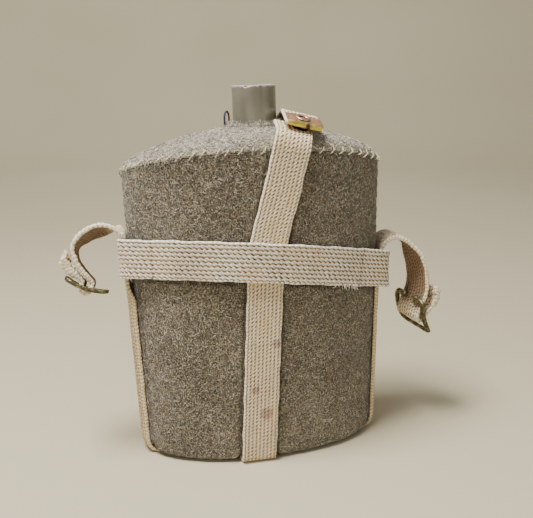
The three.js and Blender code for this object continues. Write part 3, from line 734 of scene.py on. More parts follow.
def make_stage():
    """A round pale floor that is flat out to 1.6 m and then curves up as a quarter circle."""
    turn = np.linspace(0, TURN, 97)[:-1]
    bend = np.linspace(0, np.pi / 2, 17)
    radius = np.concatenate([[0.01, 800.0, 1600.0], 1600 + 1400 * np.sin(bend[1:]), [3000.0]])
    rise = np.concatenate([[0, 0, 0], 1400 * (1 - np.cos(bend[1:])), [2600.0]])
    grid = np.stack(
        [
            radius[:, None] * np.cos(turn),
            radius[:, None] * np.sin(turn),
            rise[:, None] + 0 * turn,
        ],
        -1,
    )
    quads = grid_quads(len(radius), len(turn))
    floor = make_piece("studio_floor", grid.reshape(-1, 3), quads, closed=False)
    floor.data.materials.append(floor_material())
    world = bpy.data.worlds.new("studio")
    world.use_nodes = True
    world.node_tree.nodes["Background"].inputs["Color"].default_value = (0.97, 0.98, 1.0, 1)
    world.node_tree.nodes["Background"].inputs["Strength"].default_value = 0.34
    bpy.context.scene.world = world
    area_light("overhead", (-0.30, -0.16, 1.05), (0, 0, 0.1), 0.34, 22.0, (1, 0.98, 0.94))
    area_light("backdrop", (0, 1.3, 1.9), (0, 2.9, 0.9), 1.6, 30.0, (1, 0.98, 0.93))
    area_light("front_left", (-0.9, -1.1, 0.7), (0, 0, 0.1), 0.9, 4.2, (1, 0.98, 0.96))
    area_light("front_right", (1.1, -0.9, 0.6), (0, 0, 0.1), 0.9, 3.2, (0.96, 0.98, 1))


# ---- the bottle ----------------------------------------------------------------------------


def make_neck():
    """The neck tube: a ring profile of [radius, height] pairs turned about its axis, with the
    rim dented a little by sines, and a chip worn into the rim at the front left."""
    inner = NECK_RADIUS - NECK_WALL
    bead, chip_angle = 0.35, math.radians(239)
    lip = [
        [middle + bead * math.cos(a), RIM_HEIGHT - bead + bead * math.sin(a)]
        for middle, first in ((NECK_RADIUS - bead, 0), (inner + bead, np.pi / 2))
        for a in np.linspace(first, first + np.pi / 2, 5)
    ]
    up = [[NECK_RADIUS, z] for z in (NECK_FOOT, 206, 212, 218, 223, 226, 228, 229, 230, 231)]
    down = [[inner, z] for z in (231, 229, 226, 220, 212, 204, NECK_FOOT)]
    profile = np.array(up + lip + down)
    angle = TURN * np.arange(160) / 160
    radius = profile[:, 0][:, None] * np.ones_like(angle)
    z = profile[:, 1][:, None] * np.ones_like(angle)
    high = smooth(z, 224, RIM_HEIGHT)
    radius = radius + high * (0.12 * np.sin(2 * angle + 0.6) + 0.05 * np.sin(5 * angle))
    z = z + high * (0.10 * np.sin(2 * angle + 1) + 0.06 * np.sin(3 * angle - 0.5))
    off = (angle - chip_angle + np.pi) % TURN - np.pi
    nick = bell(off, 0.13) + 0.5 * bell(off - 0.2, 0.09)
    depth = smooth(z, RIM_HEIGHT - 3.6, RIM_HEIGHT)
    z = z - nick * 0.5 * smooth(z, RIM_HEIGHT - 1, RIM_HEIGHT)
    grid = np.stack([NECK_X + radius * np.cos(angle), NECK_Y + radius * np.sin(angle), z], -1)
    chip = np.broadcast_to(nick * depth**2, radius.shape)
    rows, cols = radius.shape
    piece = make_piece(
        "bottle_neck_tube",
        grid.reshape(-1, 3),
        grid_quads(rows, cols, wrap_rows=True),
        values={"chip": chip.ravel().copy()},
    )
    dress(piece, ROOT, enamel, "enamel", "bottle_neck")


def make_cord_eye():
    """The wire eye: a round section carried up one leg, over a half ellipse and down."""
    x, y, foot, spring = -16.3, NECK_Y, 205.5, 213.2
    turn = np.linspace(0, np.pi, 13)
    skew, reach = 1.7, 2.6
    points = [[x - skew, y - reach, foot], [x - skew, y - reach, foot + 4]]
    points += [
        [x - skew * math.cos(a), y - reach * math.cos(a), spring + 3.9 * math.sin(a)] for a in turn
    ]
    points += [[x + skew, y + reach, foot + 4], [x + skew, y + reach, foot]]
    curve, place = curve_through(points, 8)
    frames = even_frames(curve, place, (1, 0, 0), 0.4)
    tube = ring_sweep(frames, rounded_section(1.2, 1.2, 12, 2))
    piece = make_piece("stopper_cord_wire_eye", *capped(tube))
    dress(piece, ROOT, wire, "wire", "stopper_cord_eye")


# ---- the felt cover ------------------------------------------------------------------------


def even_angles(count, z=90.0):
    """Angles that step evenly round the outline's own length, from the right going rearwards."""
    dense = np.linspace(0, TURN, 4001)
    run = run_along(outline(dense, z))
    share = np.linspace(0, run[-1], count + 1)[:-1]
    return np.interp(share, run, dense), share


def lumps(points, scale, seed, count=9):
    """Gentle unevenness: the mean of a few sine waves running in fixed random directions."""
    rng = np.random.default_rng(seed)
    total = 0
    for _ in range(count):
        wave = rng.normal(size=3) / scale
        total = total + np.sin(points @ wave + rng.uniform(0, TURN))
    return total / math.sqrt(count)


def foot_lift(x, y):
    """How far the felt's foot edge is lifted where a strap runs under it, in millimetres."""
    long_strap = 1 - smooth(np.abs(x - FOOT_LEAN), 10.5, 15)
    side_strap = 1 - smooth(np.abs(y), 10.5, 15)
    return 3.3 * np.maximum(long_strap, side_strap)


def strap_press(x, y, z):
    """How hard the webbing presses at a place on the side: one under it, nought away from it."""
    front, rear = y < -20, y > 15
    low = (1 - smooth(np.abs(x - strap_lean(z)), PRESS_FULL, PRESS_NONE)) * (z < 120)
    high = (1 - smooth(np.abs(x - upper_lean(front, z)), PRESS_FULL, PRESS_NONE)) * (z > 125)
    band = 1 - smooth(np.abs(z - band_height(x, y)), 10.5, 13.5)
    return np.maximum(np.where(front | rear, np.maximum(low, high), 0), band)


def felt_side_surface(angle, z, inset):
    """The side panel's face: the outline, drawn in by inset, lifted at the foot over the
    straps, moved in and out by gentle lumps and pressed in under the webbing."""
    spot = outline(angle, z, inset)
    spot[..., 2] += foot_lift(spot[..., 0], spot[..., 1]) * (1 - smooth(z, 2, 16))
    out = 0.22 * lumps(spot, 11, 5) + 0.10 * lumps(spot, 3.2, 6)
    out = out - 0.3 * strap_press(*np.moveaxis(spot, -1, 0))
    away = outline(angle, z, inset - 1) - outline(angle, z, inset)
    return spot + away * out[..., None]


def felt_shade(x, y, z):
    """Painted shade on the felt: thin dark lines beside the webbing's edges, under
    the band and under the top panel's rim, each a bell curve of the distance from its line."""
    band = band_height(x, y)
    low = bell(np.abs(x - strap_lean(z)) - SHADE_LINE_OUT, 1.0) * (z < band - 11) * (np.abs(x) < 40)
    off = np.abs(x - upper_lean(y < -15, z))
    high = bell(off - SHADE_LINE_OUT, 1.0) * (z > band + 11) * (np.abs(x) < 45)
    side = bell(np.abs(y) - 12.2, 1.3) * (np.abs(x) > 68) * (z < band - 8)
    under = 1.2 * bell(z - band + 13.4, 1.5)
    rim = 0.9 * bell(z - seam_height(np.arctan2(y / 36, x / 79)) + 1.8, 1.1)
    return np.clip(low + high + side + under + rim, 0, 1)


def make_felt_side():
    angle, run = even_angles(SIDE_POINTS)
    rise = seam_height(angle) - 0.5
    rows = []
    round_ = 3.4 + 2.6 * np.abs(np.cos(angle)) ** 4
    for turn in np.linspace(0, np.pi / 2, FOOT_RINGS):
        lift = round_ * (1 - math.cos(turn))
        rows.append((FELT_BOTTOM + 0.7 + lift, round_ * (1 - math.sin(turn))))
    for share in np.linspace(0, 1, WALL_RINGS + 1)[1:]:
        rows.append((mix(FELT_BOTTOM + 0.7 + round_, rise - 1.2, share), 0.0))
    rim = ((0.7, 0.12), (0.2, 0.5), (0, 1.2), (0.1, 2.2), (0.8, FELT))
    rows += [(rise - below, inset) for below, inset in rim]
    for share in (0.75, 0.5, 0.25):
        rows.append((mix(8.0, rise - 0.8, share), FELT))
    rows += [(6.0 + 0 * angle, FELT), (3.2 + 0 * angle, FELT + 0.9)]
    grid = np.stack([felt_side_surface(angle, z, inset) for z, inset in rows])
    closing = np.abs(run - np.interp(REAR_SEAM_ANGLE, angle, run))
    face = np.arange(len(rows)) <= FOOT_RINGS + WALL_RINGS
    groove = bell(closing, 1.1)[None, :] * face[:, None]
    inward = unit(-outline(angle, 90, 0) * np.array([1.0, 1.0, 0.0]))
    grid += inward[None] * (0.7 * groove)[..., None]
    points = grid.reshape(-1, 3)
    quads = grid_quads(grid.shape[0], grid.shape[1], wrap_rows=True)
    shade = felt_shade(*points.T)
    piece = make_piece("felt_side_panel", points, quads, values={"shade": shade})
    dress(piece, ROOT, felt_side, "felt", "cover_wall")
    return grid[FOOT_RINGS // 2 : FOOT_RINGS + WALL_RINGS]


def dome_point(angle, rise, inset=0.0, sink=0.0):
    """The domed top: from the seam to the neck, the share of the way in is the rise to a power
    of about 1.8, larger on the right, and the height runs evenly from the seam's to the top."""
    edge = outline(angle, seam_height(angle), inset)
    hole = NECK_RADIUS + 0.35
    power = SHOULDER_ROUND + SHOULDER_SKEW * np.cos(angle)
    share = rise**power
    x = mix(edge[..., 0], NECK_X + hole * np.cos(angle), share)
    y = mix(edge[..., 1], NECK_Y + hole * np.sin(angle), share)
    z = mix(edge[..., 2], FELT_TOP - sink, rise)
    return np.stack([x, y, z], -1)


def stitch_places():
    """Angles of the overcast stitches, one about every 7 mm of seam, a little uneven."""
    dense = np.linspace(0, TURN, 4001)
    run = run_along(outline(dense, seam_height(dense)))
    count = round(run[-1] / SEAM_STITCH_PITCH)
    rng = np.random.default_rng(12)
    at = (np.arange(count) + rng.uniform(-0.13, 0.13, count)) * run[-1] / count
    return np.interp(at, run, dense) % TURN, dense, run


def make_felt_top(stitches):
    angle, _ = even_angles(SIDE_POINTS)
    _, dense, run = stitches
    here = np.interp(angle, dense, run)
    stitch_at = np.interp(stitches[0], dense, run)
    near = np.abs(here[:, None] - stitch_at[None, :]).min(1)
    pinch = bell(near, 1.5)
    rows = []
    welt = 0.55 - 0.55 * pinch
    for a in np.linspace(-0.5 * np.pi, 0.5 * np.pi, WELT_RINGS):
        out = 0.2 + welt * math.cos(a)
        lift = 0.35 + 0.85 * math.sin(a)
        spot = dome_point(angle, np.zeros_like(angle), -out + 0.9)
        spot[:, 2] += lift - 0.15 * pinch
        rows.append(spot)
    rises = np.linspace(0, 1, DOME_RINGS + 1)[1:] ** 1.25
    for rise in rises:
        spot = dome_point(angle, rise + 0 * angle, 0.9 * (1 - rise))
        fade = 1 - smooth(rise, 0.02, 0.12)
        spot[:, 2] += 1.15 * fade * (1 - 0.5 * pinch)
        spot[:, 2] -= 0.25 * pinch * (1 - smooth(rise, 0.05, 0.2))
        spot[:, 2] += 0.25 * lumps(spot, 9, 3) * smooth(rise, 0.05, 0.3)
        spot[:, 2] += 1.3 * smooth(rise, 0.93, 1.0)
        rows.append(spot)
    for rise in (1.0, 0.9, 0.6, 0.3, 0.05):
        rows.append(dome_point(angle, rise + 0 * angle, FELT, FELT))
    grid = np.stack(rows)
    quads = grid_quads(grid.shape[0], grid.shape[1], wrap_rows=True)
    piece = make_piece("felt_top_panel", grid.reshape(-1, 3), quads)
    dress(piece, ROOT, felt_top, "felt", "cover_top")
    return grid[WELT_RINGS : WELT_RINGS + DOME_RINGS]


def tube_batch(paths, radius, sides=6):
    """Many short threads at once: paths is threads x stations x 3, radius one number for each
    station. The ring directions come from the cross product of each step with a fixed line.
    Returns the points and the squares and end triangles of all of them."""
    count, stations = paths.shape[:2]
    along = unit(np.gradient(paths, axis=1))
    side = unit(np.cross(along, np.array([0.31, 0.17, 0.93])))
    other = np.cross(along, side)
    turn = TURN * np.arange(sides) / sides
    reach = np.asarray(radius, float)
    reach = reach[None, :] if reach.ndim == 1 else reach
    ring = side[:, :, None] * np.cos(turn)[:, None] + other[:, :, None] * np.sin(turn)[:, None]
    points = paths[:, :, None] + ring * reach[..., None, None]
    quads = grid_quads(stations, sides)
    k = np.arange(1, sides - 1)
    first = np.stack([0 * k, k + 1, k], 1)
    tris = np.concatenate([first, first[:, ::-1] + (stations - 1) * sides])
    size = stations * sides
    step = (np.arange(count) * size)[:, None, None]
    quads = (quads[None] + step).reshape(-1, 4)
    tris = (tris[None] + step).reshape(-1, 3)
    return points.reshape(-1, 3), quads, tris


def make_seam_stitches(stitches):
    """Overcast stitches over the top panel's rim: each thread leaves the side panel, crosses
    the rim and enters the top panel a little further round, on a five-point arch."""
    rng = np.random.default_rng(31)
    angle = stitches[0]
    x = outline(angle, seam_height(angle))[:, 0]
    y = outline(angle, seam_height(angle))[:, 1]
    front = (y < 0) & (np.abs(x - 15.5) < 12.5)
    rear = (y > 0) & (np.abs(x - 24.5) < 12.5)
    angle = angle[~(front | rear)]
    lean = rng.uniform(1.5, 2.6, len(angle)) * np.where(rng.uniform(size=len(angle)) < 0.1, 0.2, 1)
    turn_per_mm = 1 / np.linalg.norm(
        (outline(angle + 0.01, 185) - outline(angle - 0.01, 185)) / 0.02, axis=1
    )
    low = rng.uniform(1.3, 2.4, len(angle))
    paths = []
    leaving = ((-1.0, 1.0, -0.6), (-0.9, 0.85, 0.35), (-0.45, 0.3, 0.95), (0.0, -0.2, 1.1))
    for share, drop, out in leaving:
        at = angle + lean * share * turn_per_mm
        spot = outline(at, seam_height(at), -out)
        spot[:, 2] -= low * drop
        paths.append(spot)
    for share, rise, out in ((0.4, 0.03, 1.6), (0.8, 0.06, 1.2), (1.0, 0.075, -0.2)):
        at = angle + lean * share * turn_per_mm
        spot = dome_point(at, np.full_like(at, rise), 0.6)
        spot[:, 2] += out
        paths.append(spot)
    line = np.stack(paths, 1)
    u = np.linspace(0, line.shape[1] - 1, 15)
    low_end = np.floor(np.minimum(u, line.shape[1] - 1.001)).astype(int)
    f = (u - low_end)[None, :, None]
    smooth_line = line[:, low_end] * (1 - f) + line[:, low_end + 1] * f
    radius = 0.37 * np.array([0.6, 0.9] + [1.0] * 11 + [0.9, 0.6])
    piece = make_piece("seam_stitches", *tube_batch(smooth_line, radius, 8))
    dress(piece, ROOT, thread, "seam_thread", "cover_top_seam_thread")


def make_rear_stitches():
    """Short slanted stitches up the side panel's closing seam at the rear."""
    z = np.arange(10, 180, REAR_STITCH_PITCH)
    z = z[np.abs(z - band_height(-41, 21)) > 14]
    paths = []
    for share in np.linspace(-1, 1, 9):
        spot = outline(REAR_SEAM_ANGLE + 0 * z, z, 0.55 - 0.75 * math.sqrt(max(0, 1 - share**2)))
        spot[:, 0] += 2.4 * share
        spot[:, 2] += 1.2 * share
        spot[:, 1] += 0.25
        paths.append(spot)
    piece = make_piece("rear_seam_stitches", *tube_batch(np.stack(paths, 1), np.full(9, 0.38), 8))
    dress(piece, ROOT, thread, "seam_thread", "cover_rear_seam_thread")


def make_felt_base():
    """The base panel: rings of the outline shrinking to the middle, slightly bellied, with a
    felt thickness, and a round of stitches in the angle at its rim."""
    angle, _ = even_angles(240)
    inset = 4.3
    rows = []
    for share in np.linspace(0.02, 1, 40):
        spot = outline(angle, 5.2, inset) * np.array([share, share, 1.0])
        spot[:, 2] += 0.15 * lumps(spot, 9, 8)
        rows.append(spot)
    rows.append(outline(angle, 6.4, inset - 0.3))
    rows.append(outline(angle, 7.6, inset))
    rows.append(outline(angle, 7.8, inset) * np.array([0.02, 0.02, 1.0]))
    grid = np.stack(rows)
    piece = make_piece("felt_base_panel", *capped(grid))
    dress(piece, ROOT, felt_side, "felt", "cover_base")
    dense = np.linspace(0, TURN, 2001)
    run = run_along(outline(dense, 5.0, FELT + 0.9))
    at = np.interp(np.arange(0, run[-1] - 4, BASE_STITCH_PITCH), run, dense)
    paths = []
    for share in np.linspace(-1, 1, 9):
        spot = outline(at + 0.012 * share, 5.0, 4.4 + 1.8 * share)
        spot[:, 2] -= 0.75 * math.sqrt(max(0, 1 - share**2)) - 0.35
        paths.append(spot)
    piece = make_piece("base_seam_stitches", *tube_batch(np.stack(paths, 1), np.full(9, 0.36), 6))
    dress(piece, ROOT, thread, "seam_thread", "cover_base_seam_thread")


def scatter(grid, count, rng, wrap=True):
    """Random points over a grid of points, evenly by area, with the face direction there."""
    along = np.gradient(grid, axis=0)
    if wrap:
        round_ = (np.roll(grid, -1, axis=1) - np.roll(grid, 1, axis=1)) / 2
    else:
        round_ = np.gradient(grid, axis=1)
    normal = np.cross(round_, along)
    area = np.linalg.norm(normal, axis=2)
    normal = unit(normal)
    share = (area / area.sum()).ravel()
    pick = rng.choice(area.size, count, p=share)
    i, j = pick // grid.shape[1], pick % grid.shape[1]
    u, v = rng.uniform(-0.5, 0.5, (2, count))
    spot = grid[i, j] + along[i, j] * u[:, None] + round_[i, j] * v[:, None]
    return spot, normal[i, j]


def make_fibres(name, spot, normal, rng, length, rise, radius, tone):
    """Loose fibres: each leaves its root nearly along the surface and arches on a half sine to
    its own height, with a sideways curl, and thins towards its tip."""
    count = len(spot)
    along = unit(np.cross(normal, rng.normal(size=(count, 3))))
    aside = np.cross(normal, along)
    long = rng.uniform(*length, count)[:, None, None]
    high = (rng.uniform(0, 1, count) ** 2 * (rise[1] - rise[0]) + rise[0])[:, None, None]
    curl = rng.normal(0, 0.35, count)[:, None, None]
    lift = rng.uniform(0.35, 1.0, count)[:, None, None] * np.pi
    u = np.linspace(0, 1, 4)[None, :, None]
    paths = (
        spot[:, None]
        - 0.25 * normal[:, None]
        + along[:, None] * long * (u - 0.2)
        + aside[:, None] * long * curl * u * u
        + normal[:, None] * (high + 0.25) * np.sin(lift * u)
    )
    paths[..., 2] = np.maximum(paths[..., 2], 0.3)
    thick = radius * np.array([1, 1, 0.85, 0.35])
    points, quads, tris = tube_batch(paths, thick, 3)
    tones = np.repeat(tone[:count], 4 * 3)
    piece = make_piece(name, points, quads, tris, {"tone": tones})
    dress(piece, ROOT, wool, "felt")


def make_nap(side_grid, top_grid):
    """Wool standing off the felt: many low fibres, a frayed ring of them at the neck and a few
    long stray ones."""
    rng = np.random.default_rng(77)
    cols = side_grid.shape[1]
    half, quarter = cols // 2, cols // 4
    mixed = rng.beta(1.1, 1.1, NAP_COUNT)
    pale = rng.beta(2.0, 0.9, NAP_COUNT)
    parts = (
        ("front_left", side_grid[:, half : half + quarter + 1]),
        ("front_right", side_grid[:, half + quarter :]),
        ("rear", side_grid[:, : half + 1]),
    )
    for name, part in parts:
        spot, normal = scatter(part, NAP_COUNT, rng, wrap=False)
        make_fibres(f"felt_nap_{name}", spot, normal, rng, (1.6, 3.8), (0.1, 0.8), 0.10, mixed)
    spot, normal = scatter(top_grid, NAP_COUNT, rng)
    make_fibres("felt_nap_top", spot, normal, rng, (1.6, 4.0), (0.15, 1.0), 0.10, pale)
    spot, normal = scatter(top_grid[-5:], 1100, rng)
    make_fibres("felt_nap_neck", spot, normal, rng, (1.5, 3.6), (0.6, 2.6), 0.08, pale)
    spot, normal = scatter(side_grid, 260, rng)
    make_fibres("stray_wool", spot, normal, rng, (5, 11), (0.4, 1.8), 0.06, pale)


# ---- the webbing carrier -------------------------------------------------------------------


def half_cradle(face_at, top, floor):
    """A half route, as [outwards, height]: down one face from its top end, round the corner
    under the base, and along the base."""
    corner, low = 5.0, HALF_WEB
    down = [[face_at(z), z] for z in np.linspace(top, low + corner, 16)]
    bend = quadratic([face_at(0), low + corner], [face_at(0), low], [face_at(0) - corner, low])
    return down[:-1] + [list(p) for p in bend] + floor


def make_long_cradle():
    top = band_height(0, -FRONT_DEPTH_SEAM) - 3.6
    rear_top = band_height(0, REAR_DEPTH) - 4.4
    floor = [[20, HALF_WEB], [0, HALF_WEB]]
    front = half_cradle(lambda z: front_depth(z) + FRONT_STAND, top, floor)
    rear = half_cradle(lambda z: REAR_DEPTH + FRONT_STAND, rear_top, [[8, HALF_WEB]])
    line = [[-y, z] for y, z in front] + [[y, z] for y, z in rear[::-1]]
    points = [[strap_lean(z), y, z] for y, z in line]
    frames = strap_frames(points, (1, 0, 0))
    front_run = frames[0][frames[1][:, 1] < 0]
    height = frames[1][frames[1][:, 1] < 0][:, 2]
    at = [np.interp(-z, -height, front_run) for z in (80, 50, 34)]
    marks = ((at[0], 8.0, 3.0), (at[1], -4.0, 3.0), (at[2], 3.0, 4.0))
    piece = webbing("front_rear_cradle_web", frames, STRAP_WIDTH, 1.0, marks=marks)
    move_points(piece, points_of(piece))
    dress(piece, ROOT, strap_cloth, "webbing", "front_rear_cradle_strap")


def points_of(piece):
    place = np.zeros(len(piece.data.vertices) * 3, np.float32)
    piece.data.vertices.foreach_get("co", place)
    return place.reshape(-1, 3).astype(float) / MM


def move_points(piece, place):
    """Puts a piece's points at new places, pressing flat what would reach under the ground."""
    place[:, 2] = np.maximum(place[:, 2], 0.02)
    piece.data.vertices.foreach_set("co", (place * MM).astype(np.float32).ravel())
    piece.data.update()


def side_drop(y):
    """How far the outline's side has turned in from its widest at depth y."""
    front = 1 - np.sqrt(1 - (y / FRONT_DEPTH_FOOT) ** 2)
    rear = 1 - (1 - np.abs(y / REAR_DEPTH) ** REAR_POWER) ** (1 / REAR_POWER)
    return HALF_WIDTH_FOOT * np.where(y < 0, front, rear)


def make_side_cradle():
    foot = HALF_WIDTH_FOOT + SIDE_STAND_FOOT
    hop = HALF_WEB + WEB + 0.35

    def half(side):
        top = band_height(side * HALF_WIDTH_SEAM, 0) - 1
        high = half_width(top) + SIDE_STAND_TOP
        edge = HALF_STRAP + 2 + side * FOOT_LEAN
        floor = [[edge + 7, HALF_WEB], [edge, hop]]
        line = half_cradle(lambda z: mix(foot, high, z / top), top, floor)
        return [[side * x, 0, z] for x, z in line]

    points = half(-1) + half(1)[::-1]
    frames = strap_frames(points, (0, 1, 0))
    piece = webbing("side_cradle_web", frames, STRAP_WIDTH, 2.0)
    place = points_of(piece)
    hold = smooth(place[:, 2], -6, 8) * (1 - smooth(place[:, 2], 103, 116))
    low = np.clip(1 - place[:, 2] / 10, 0, 0.96)
    tuck = 8 * (1 - np.sqrt(1 - low**2)) * smooth(np.abs(place[:, 0]), 58, 74)
    inside = np.clip(place[:, 1], -HALF_STRAP, HALF_STRAP)
    place[:, 0] -= np.sign(place[:, 0]) * (side_drop(inside) * hold + tuck)
    move_points(piece, place)
    dress(piece, ROOT, side_cloth, "webbing", "side_cradle_strap")


def band_route(start, end):
    """The band's middle line between two angles of the outline: it stands off the felt over the
    front and rear straps, and runs flat over the straps at the sides."""
    angle = np.linspace(start, end, 400)
    over = np.exp(-((np.cos(angle) / 0.34) ** 4))
    spot = outline(angle, BAND_HEIGHT, -(1.2 + HALF_WEB + 2.4 * over))
    x, y = spot[:, 0], spot[:, 1]
    flat_end = np.where(y < 0, 26.0, 21.0)
    hold = 1 - smooth(np.abs(y), HALF_STRAP + 1.5, flat_end)
    limit = half_width(BAND_HEIGHT) + SIDE_STAND_TOP + WEB + 0.3
    side = np.sign(x) * mix(np.abs(x), limit, hold)
    return np.stack([side, y, band_height(side, y)], 1)


def make_band():
    join = 0.02
    for name, start, end, node in (
        ("carrier_band_front_web", np.pi + join, TURN - join, "carrier_band_front"),
        ("carrier_band_rear_web", join, np.pi - join, "carrier_band_rear"),
    ):
        curve = band_route(start, end)
        frames = even_frames(curve, np.arange(len(curve)), (0, 0, 1), 0.5)
        x = frames[1][:, 0]
        at_front = node.endswith("front")
        seams = [np.interp(at, x, frames[0]) for at in (-66.0, 8.5, 62.0)] if at_front else ()
        piece = webbing(name, frames, BAND_WIDTH, 3.0, 2.7, 3.4, 0.5, 0.4, seams=seams)
        dress(piece, ROOT, band_cloth, "webbing", node)


def make_fray():
    """Loose cotton ends under the band's lower edge at the right: each hangs from the edge and
    curls on a sine of its length."""
    rng = np.random.default_rng(9)
    count = 34
    angle = rng.choice([5.28, 5.36, 5.44, 5.5], count) + rng.normal(0, 0.018, count)
    root = outline(angle, BAND_HEIGHT, -(1.2 + HALF_WEB + 0.6))
    root[:, 2] = band_height(root[:, 0], root[:, 1]) - BAND_WIDTH / 2 + 0.3
    long = rng.uniform(1.2, 4.2, count)[:, None]
    heading = unit(rng.normal(0, 0.9, (count, 3)) + [0, -0.35, -1])
    curl = np.cross(heading, rng.normal(size=(count, 3)))
    u = np.linspace(0, 1, 7)[None, :, None]
    paths = root[:, None] + heading[:, None] * long[:, None] * u
    paths += curl[:, None] * 0.5 * np.sin(3.2 * u)
    points, quads, tris = tube_batch(paths, 0.16 * np.array([1, 1, 1, 1, 0.9, 0.8, 0.4]), 5)
    dress(make_piece("band_frayed_ends", points, quads, tris), ROOT, fray, "seam_thread")


def stud_frame():
    """The press stud's three directions: across the strap, along it and out of its face."""
    cp, sp = math.cos(STUD_PITCH), math.sin(STUD_PITCH)
    cr, sr = math.cos(STUD_ROLL), math.sin(STUD_ROLL)
    roll = np.array([[cr, 0, sr], [0, 1, 0], [-sr, 0, cr]])
    pitch = np.array([[1, 0, 0], [0, cp, -sp], [0, sp, cp]])
    return roll @ pitch


STUD_AXES = stud_frame()


def by_stud(points):
    return np.asarray(points, float) @ STUD_AXES.T + STUD_CENTRE


def front_face(z):
    return -front_depth(z) - FRONT_STAND


def make_front_strap():
    start = band_height(0, -FRONT_DEPTH_SEAM) + 0.2
    points = [
        [-0.9, front_face(start), start],
        [3.4, front_face(150), 150],
        [9.8, front_face(172), 172],
        [13.2, front_face(187) - 0.4, 186],
        [15.0, front_face(190) - 0.7, 193],
        [16.4, -41.0, 198.4],
        [17.5, -39.6, 202.4],
    ]
    points += by_stud([[-3.8, -6.5, -5.3], [-3.8, 0, -5.3], [-3.8, 5.5, -5.3]]).tolist()
    across = [[1, 0, -0.258]] * 6 + [[1, 0, -0.255]] * 4
    frames = strap_frames(points, across)
    piece = webbing("front_retaining_web", frames, STRAP_WIDTH, 4.0)
    dress(piece, ROOT, strap_cloth, "webbing", "front_retaining_strap")


def make_rear_strap():
    """The rear half of the retaining strap and its flap, as one strap carried over the top of
    the shoulder."""
    start = band_height(0, REAR_DEPTH) + 0.2
    rear = REAR_DEPTH + FRONT_STAND
    points = [
        [0.6, rear, start],
        [10.2, rear, 145],
        [19.4, rear, 175],
        [22.8, rear + 0.3, 186],
        [25.4, rear + 1.0, 195.5],
        [27.0, 22.2, 202.4],
        [28.0, 18.6, 206.6],
        [28.3, 14.0, 208.3],
        [27.8, 7, 209.6],
        [27.3, -1, 211.4],
        [26.7, -9, 213.2],
        [25.8, -17, 214.2],
    ]
    points += by_stud([[0, TIP_REAR, 0], [0, 0, 0], [0, -TIP_FRONT, 0]]).tolist()
    across = [[1, 0, -0.32]] * 5 + [[1, 0, -0.255]] * 10
    piece = webbing("rear_retaining_web", strap_frames(points, across), STRAP_WIDTH, 5.0)
    dress(piece, None, strap_cloth, "webbing", "rear_strap_foot", "retaining_flap")
    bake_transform(piece)


LEFT_BAR = np.array([-106.7, -1.0, 112.8])
LEFT_ACROSS = np.array([0.0, 0.97, -0.243])
LEFT_DOWN = np.array([0.918, -0.093, -0.37])
RIGHT_BAR = np.array([106.4, -4.0, 79.4])
RIGHT_ACROSS = np.array([-0.274, 0.957, 0.095])
RIGHT_DOWN = np.array([0.299, 0.179, -0.937])
FOLD_RADIUS = 2.95


def fold_round(bar, across, down, start, end, count=7):
    """Points on an arc round a buckle's bar, between two turns counted from the down side."""
    axis = unit(across)
    reach = unit(down - down @ axis * axis)
    turn = np.linspace(start, end, count)[:, None]
    spoke = reach * np.cos(turn) + np.cross(axis, reach) * np.sin(turn)
    return (bar + FOLD_RADIUS * spoke).tolist()


def tab_hinge(side):
    x = side * (half_width(BAND_HEIGHT) + SIDE_STAND_TOP)
    return x, band_height(x, -HALF_STRAP) + BAND_WIDTH / 2 + 0.9


